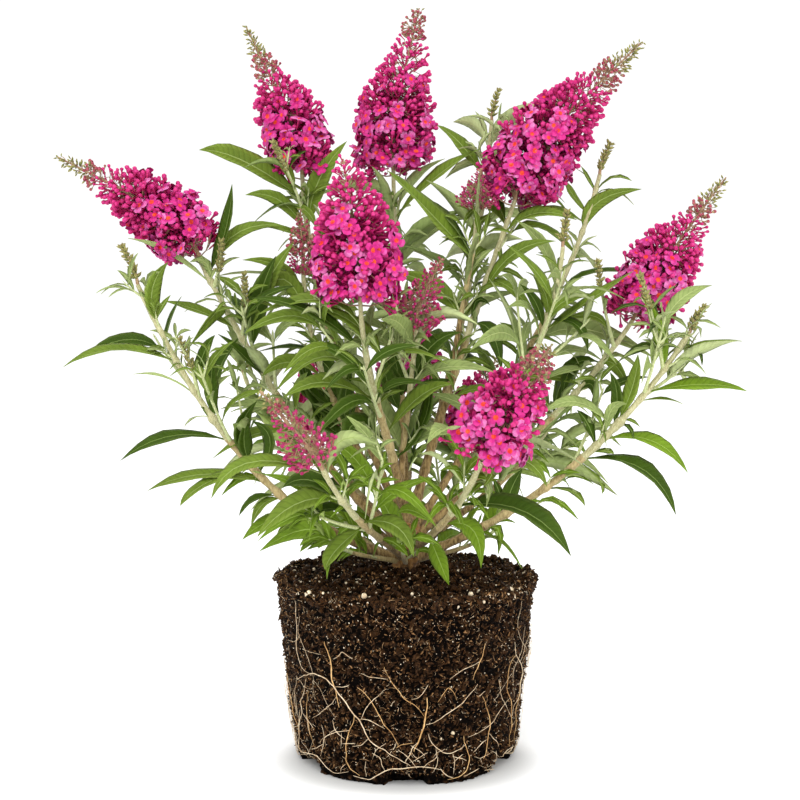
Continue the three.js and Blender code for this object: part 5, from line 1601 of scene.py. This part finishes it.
# roots that can be told apart: radius, whether old and yellow, and the places where each shows
knownRoots = (
    (0.62, 1, (326, 641), (331, 655), (334, 680), (337, 692), (341, 706)),
    (0.52, 0, (300, 679), (309, 674), (317, 673), (327, 678), (335, 685), (341, 694), (349, 705), (356, 714),
     (361, 719), (364, 728), (368, 736), (374, 743), (390, 753), (401, 759), (410, 765)),
    (0.5, 1, (356, 714), (355, 722), (351, 729), (348, 739), (348, 750), (347, 760), (351, 767), (361, 775)),
    (0.36, 0, (351, 729), (345, 731), (339, 731), (330, 734), (326, 737), (325, 745), (323, 755)),
    (0.3, 0, (338, 695), (334, 702), (328, 708), (320, 714), (314, 718)),
    (0.36, 0, (309, 678), (306, 690), (303, 702), (304, 712), (302, 722), (301, 745), (304, 752), (313, 765)),
    (0.36, 0, (301, 750), (310, 752), (318, 755), (323, 760), (329, 768), (335, 773), (350, 771)),
    (0.3, 0, (313, 749), (320, 747), (325, 743)),
    (0.34, 0, (334, 719), (335, 727), (340, 733), (346, 738)),
    (0.36, 1, (358, 686), (365, 691), (371, 700), (376, 707), (380, 714), (385, 725), (392, 732), (397, 740),
     (399, 746)),
    (0.3, 0, (361, 721), (365, 712), (370, 703), (374, 699), (383, 690)),
    (0.34, 0, (362, 718), (371, 719), (378, 723), (385, 728)),
    (0.3, 0, (335, 659), (340, 656), (343, 650), (349, 655), (354, 658)),
    (0.36, 1, (385, 667), (389, 676), (395, 686), (400, 692), (405, 699), (413, 703), (419, 709), (424, 715)),
    (0.26, 0, (362, 673), (369, 676), (378, 677), (388, 679)),
    (0.32, 0, (338, 686), (345, 686), (351, 684)),
    (0.5, 0, (354, 775), (362, 778), (370, 779), (378, 775), (384, 770), (392, 768), (411, 766), (423, 766),
     (440, 768)),
    (0.34, 0, (373, 752), (381, 758), (383, 764), (385, 769)),
    (0.26, 0, (367, 760), (366, 768), (367, 777)),
    (0.4, 1, (287, 660), (289, 675), (291, 685), (293, 700), (296, 712), (299, 722), (301, 735)),
    (0.34, 0, (297, 600), (299, 640), (299, 655), (303, 666), (311, 673)),
    (0.28, 1, (310, 690), (309, 705), (309, 715), (311, 725), (316, 745)),
    (0.26, 0, (347, 763), (343, 767), (341, 771)),
    (0.74, 1, (426, 697), (427, 703), (425, 717), (423, 727), (420, 735), (417, 743), (413, 750)),
    (0.38, 0, (418, 741), (412, 747), (408, 757), (405, 762)),
    (0.36, 0, (426, 724), (433, 722), (440, 718), (447, 712), (456, 706), (463, 701), (468, 694), (475, 684)),
    (0.38, 1, (484, 644), (482, 652), (478, 662), (474, 672), (472, 680)),
    (0.28, 0, (478, 661), (468, 666), (458, 671), (448, 678)),
    (0.34, 1, (481, 695), (483, 703), (486, 710)),
    (0.48, 1, (486, 708), (488, 722), (487, 735), (485, 745), (484, 752), (481, 758)),
    (0.28, 0, (467, 736), (476, 733), (484, 727), (492, 720), (498, 710), (503, 702), (508, 697)),
    (0.3, 0, (485, 738), (480, 742), (476, 748), (472, 752)),
    (0.4, 1, (513, 655), (508, 665), (505, 675), (505, 688), (508, 699), (510, 712), (509, 725), (507, 735),
     (508, 745)),
    (0.4, 0, (513, 642), (513, 655), (519, 663), (520, 675), (518, 690), (512, 705), (510, 715)),
    (0.3, 1, (519, 680), (516, 695), (514, 710), (513, 725), (512, 742)),
    (0.4, 0, (512, 745), (505, 750), (500, 755), (495, 762), (484, 770)),
    (0.44, 1, (463, 735), (463, 742), (466, 752), (468, 757), (467, 765), (465, 772), (455, 777), (447, 779)),
    (0.36, 0, (428, 733), (430, 741), (436, 747), (442, 751), (447, 753), (452, 752), (460, 748), (464, 743)),
    (0.3, 0, (435, 748), (437, 756), (430, 761), (422, 767)),
    (0.36, 0, (440, 768), (443, 773), (448, 776), (453, 777)),
    (0.32, 0, (463, 776), (470, 772), (478, 767)),
    (0.3, 0, (452, 755), (460, 757), (466, 760)),
    (0.3, 1, (396, 747), (404, 743), (414, 742)),
    (0.3, 0, (410, 699), (418, 697), (424, 690), (428, 683)),
    (0.26, 1, (437, 702), (442, 693), (447, 686), (452, 691), (456, 699)),
    (0.28, 0, (477, 696), (484, 690)), (0.3, 0, (488, 733), (494, 741), (497, 746)),
)


def onBall(spot):  # where the line of sight through a place in the view meets the side of the ball
    line = pointAt(spot, np.arange(-112.0, 1.0, 0.5)[:, None])
    far = np.hypot(line[:, 0], line[:, 1]) - ballRadius(np.arctan2(line[:, 1], line[:, 0]), line[:, 2])
    met = np.flatnonzero(far < 0)
    return line[met[0] if len(met) else np.argmin(far)]


def proudAt(height, wave):  # how far a root stands out, over the crumbs but close in at the foot
    return (roots["proud"] + roots["dip"] * wave) * (0.45 + 0.55 * smooth(height, 3, 12))


def knownRoot(places, rng):
    points = np.array([onBall(place) for place in places])
    run = np.concatenate([[0], np.cumsum(np.linalg.norm(np.diff(points, axis=0), axis=1))])
    steps = np.arange(0, run[-1] + 1, 1.3)
    line = np.stack([np.interp(steps, run, points[:, i]) for i in range(3)], -1)
    line += rng.normal(0, 0.3, line.shape)
    for _ in range(2):
        line[1:-1] = (line[:-2] + 2 * line[1:-1] + line[2:]) / 4
    heading, height = np.arctan2(line[:, 1], line[:, 0]), np.maximum(line[:, 2], 1.2)
    wave = 0.3 + 0.5 * np.sin(steps * 0.3 + rng.uniform(0, 6))
    return ringAt(heading, ballRadius(heading, height) + proudAt(height, wave), height)


def walkRoot(rng, heading, height, course, radius, length, made, level=0, fine=False):
    path, radii, phase, left = [], [], rng.uniform(0, 6.3), rng.uniform(*roots["stretch"])
    for i in range(int(length / roots["step"])):
        if height < 4:
            if fine:
                break
            course = 0.05 if math.cos(course) > 0 else math.pi - 0.05
        stretch = ballRadius(np.array([heading]), height)[0] + proudAt(height, math.sin(phase + i * 0.22))
        path.append((stretch * math.cos(heading), stretch * math.sin(heading), max(height, 1.2)))
        radii.append(radius)
        heading += roots["step"] * math.cos(course) / stretch
        height = min(height + roots["step"] * math.sin(course), ballHeight - 8)
        course += rng.normal(0, roots["drift"])
        radius *= 0.993
        left -= roots["step"]
        if left < 0:  # a kink, and sometimes a finer root that leaves there
            turn = rng.choice([-1, 1]) * rng.uniform(0.2, 1) * roots["kink"]
            if level < 2 and rng.uniform() < roots["branch"]:
                aside = course - np.sign(turn) * rng.uniform(0.6, 1.2)
                finer = max(radius * rng.uniform(0.55, 0.85), 0.12)
                shorter = length * rng.uniform(0.25, 0.6)
                walkRoot(rng, heading, height, aside, finer, shorter, made, level + 1, fine)
            course += turn * (0.2 if height < 8 else 1)
            left = rng.uniform(*roots["stretch"])
    if len(path) > 4:
        made.append((np.array(path), np.array(radii), int(radii[0] > 0.33)))


def rootWeb():
    rng = np.random.default_rng(79)
    made = []
    for radius, old, *places in knownRoots:
        path = knownRoot(places, rng)
        made.append((path, np.full(len(path), radius * roots["thick"]), old))
    for i in range(roots["count"]):  # the rest grow by chance; in front only a few short fine ones
        heading = i * goldenTurn + rng.normal(0, 0.15)
        front, edge = math.sin(heading) < -0.3, abs(math.cos(heading)) > 0.85
        height = roots["topHeight"] * (0.08 + 0.92 * ((i * 0.6180339) % 1))
        course = rng.choice([-0.5, -1.1, -1.6, -2.0, -2.6]) + rng.normal(0, 0.2)
        radius = roots["radius"][0] + (roots["radius"][1] - roots["radius"][0]) * rng.uniform() ** 3
        length = rng.uniform(10, 20) if front else rng.uniform(25, 80)
        if front or edge:
            radius = min(radius, 0.2)
        if i % 2 or not (front or edge):
            level = int(front) + int(edge)
            walkRoot(rng, heading, height, course, radius, length, made, level, front)
    for i in range(roots["sideCount"]):  # long fine ones that run down from the rim
        heading = i * goldenTurn
        if math.sin(heading) > -0.72:
            walkRoot(rng, heading, rng.uniform(55, 118), -1.57 + rng.normal(0, 0.12), rng.uniform(0.12, 0.2),
                     rng.uniform(30, 80), made, 1, True)
    return made


rootPiece = Piece("roots")
for path, radii, old in rootWeb():
    run = np.arange(len(radii))
    uneven = 1 + 0.22 * np.sin(run * 1.1 + run**1.3 * 0.3)
    fine = radii * np.sin(np.linspace(0.45, 2.75, len(radii))) * uneven  # tapered to both ends
    rings = ringsAround(unit(np.gradient(path, axis=0)), unit(path * [1, 1, 0]), 5)
    rootPiece.add(path[:, None] + rings * fine[:, None, None], gridFaces(len(path), 5, True), old)
rootPale = plainFace("root_pale", (0.56, 0.4, 0.24, 1), (0.88, 0.72, 0.5, 1), 160, 0.6, 0.0003, 0.2)
rootOld = plainFace("root_old", (0.42, 0.22, 0.075, 1), (0.74, 0.48, 0.21, 1), 120, 0.55, 0.0003, 0.2)
rootPiece.build([rootPale, rootOld], "soil")

pebbles = (  # grains that can be told apart: where each shows and its radius
    (309, 592, 1.4), (323, 593, 0.9), (364, 596, 2.1), (412, 594, 1.2), (471, 594, 1.5), (484, 602, 1.1),
    (408, 574, 1.1), (366, 571, 0.9), (314, 569, 1.1), (346, 583, 0.8), (512, 589, 1.0), (453, 733, 1.3),
    (441, 739, 0.9),
)
pebblePiece = Piece("pebbles")
for number, (across, down, radius) in enumerate(pebbles):
    spot = onBall((across, down))
    if spot[2] > ballHeight - 2:
        way = pointAt((across, down), 0) - viewPlace
        spot = viewPlace + way * (ballHeight + 0.5 - viewPlace[2]) / way[2]
    rng = np.random.default_rng(number)
    rise = np.linspace(-1.5, 1.5, 6)[:, None]
    rings = ringAt(evenTurns(8), np.cos(rise), np.sin(rise)) * radius * rng.uniform(0.8, 1.12, (6, 8, 1))
    pebblePiece.add(spot + rings, gridFaces(6, 8, True))
pebblePiece.build([plainFace("pebble", (0.42, 0.31, 0.18, 1), (0.86, 0.74, 0.54, 1), 500, 0.75)], "soil")


# floor, light and camera

# where the floor's painted shadow lies round the foot, and how wide it is
floorLook = dict(half=6.0, shadeStretch=(1, 1.4, 1), shadeShift=(0, 0.042, 0), shade=(0.068, 0.11))


def floorWithPaintedShadow():  # painted shadow: colour and glow are toned down close to the foot as a painted contact shadow, and further out a painted glow keeps the floor white
    shader = Shader("floor_white_painted_shadow", Specular_IOR_Level=0.0, Roughness=1.0, Emission_Strength=1)
    shifted = shader.node("ShaderNodeVectorMath", dict(operation="ADD"),
                          {0: shader.place(floorLook["shadeStretch"]), 1: floorLook["shadeShift"]})
    distance = shader.node("ShaderNodeVectorMath", dict(operation="LENGTH"), {0: shifted.outputs["Vector"]})
    away = Number(shader, distance.outputs["Value"]).eased(*floorLook["shade"])
    # painted glow: the floor glows, except close to the foot
    paintedGlow = shader.mix(away, (0, 0, 0, 1), (0.18, 0.18, 0.18, 1))
    shader.plug(shader.surface.inputs["Emission Color"], paintedGlow)
    # painted shadow: the floor's colour is darker close to the foot
    return shader.finish(shader.mix(away, (0.6, 0.6, 0.59, 1), (0.98, 0.98, 0.98, 1)))


half = floorLook["half"]
floorMesh = bpy.data.meshes.new("floor")
corners = [(-half, -half, 0), (half, -half, 0), (half, half, 0), (-half, half, 0)]
floorMesh.from_pydata(corners, [], [(0, 1, 2, 3)])
floorMesh.materials.append(floorWithPaintedShadow())
linked("floor", floorMesh)

world = bpy.data.worlds.new("studio")
bpy.context.scene.world = world
world.use_nodes = True
world.node_tree.nodes["Background"].inputs["Color"].default_value = (1, 1, 1, 1)
world.node_tree.nodes["Background"].inputs["Strength"].default_value = 1.08


def areaLight(name, place, aim, size, power):
    data = bpy.data.lights.new(name, "AREA")
    data.shape, data.size, data.energy = "SQUARE", size, power
    lamp = linked(name, data)
    lamp.location = place
    lamp.rotation_euler = (Vector(aim) - Vector(place)).to_track_quat("-Z", "Y").to_euler()


areaLight("key", (-0.45, -1.5, 1.8), (0, 0, 0.3), 1.9, 36)
areaLight("fill", (1.3, -1.4, 0.9), (0, 0, 0.25), 1.4, 11)

cameraData = bpy.data.cameras.new("camera")
cameraData.sensor_width = view["sensor"]
cameraData.lens = view["focal"] / view["pixels"] * view["sensor"]
camera = linked("camera", cameraData)
camera.location = viewPlace * mm
camera.rotation_euler = Vector(viewAhead).to_track_quat("-Z", "Y").to_euler()
bpy.context.scene.camera = camera
bpy.context.scene.view_settings.view_transform = "Standard"

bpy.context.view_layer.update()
say("finished")
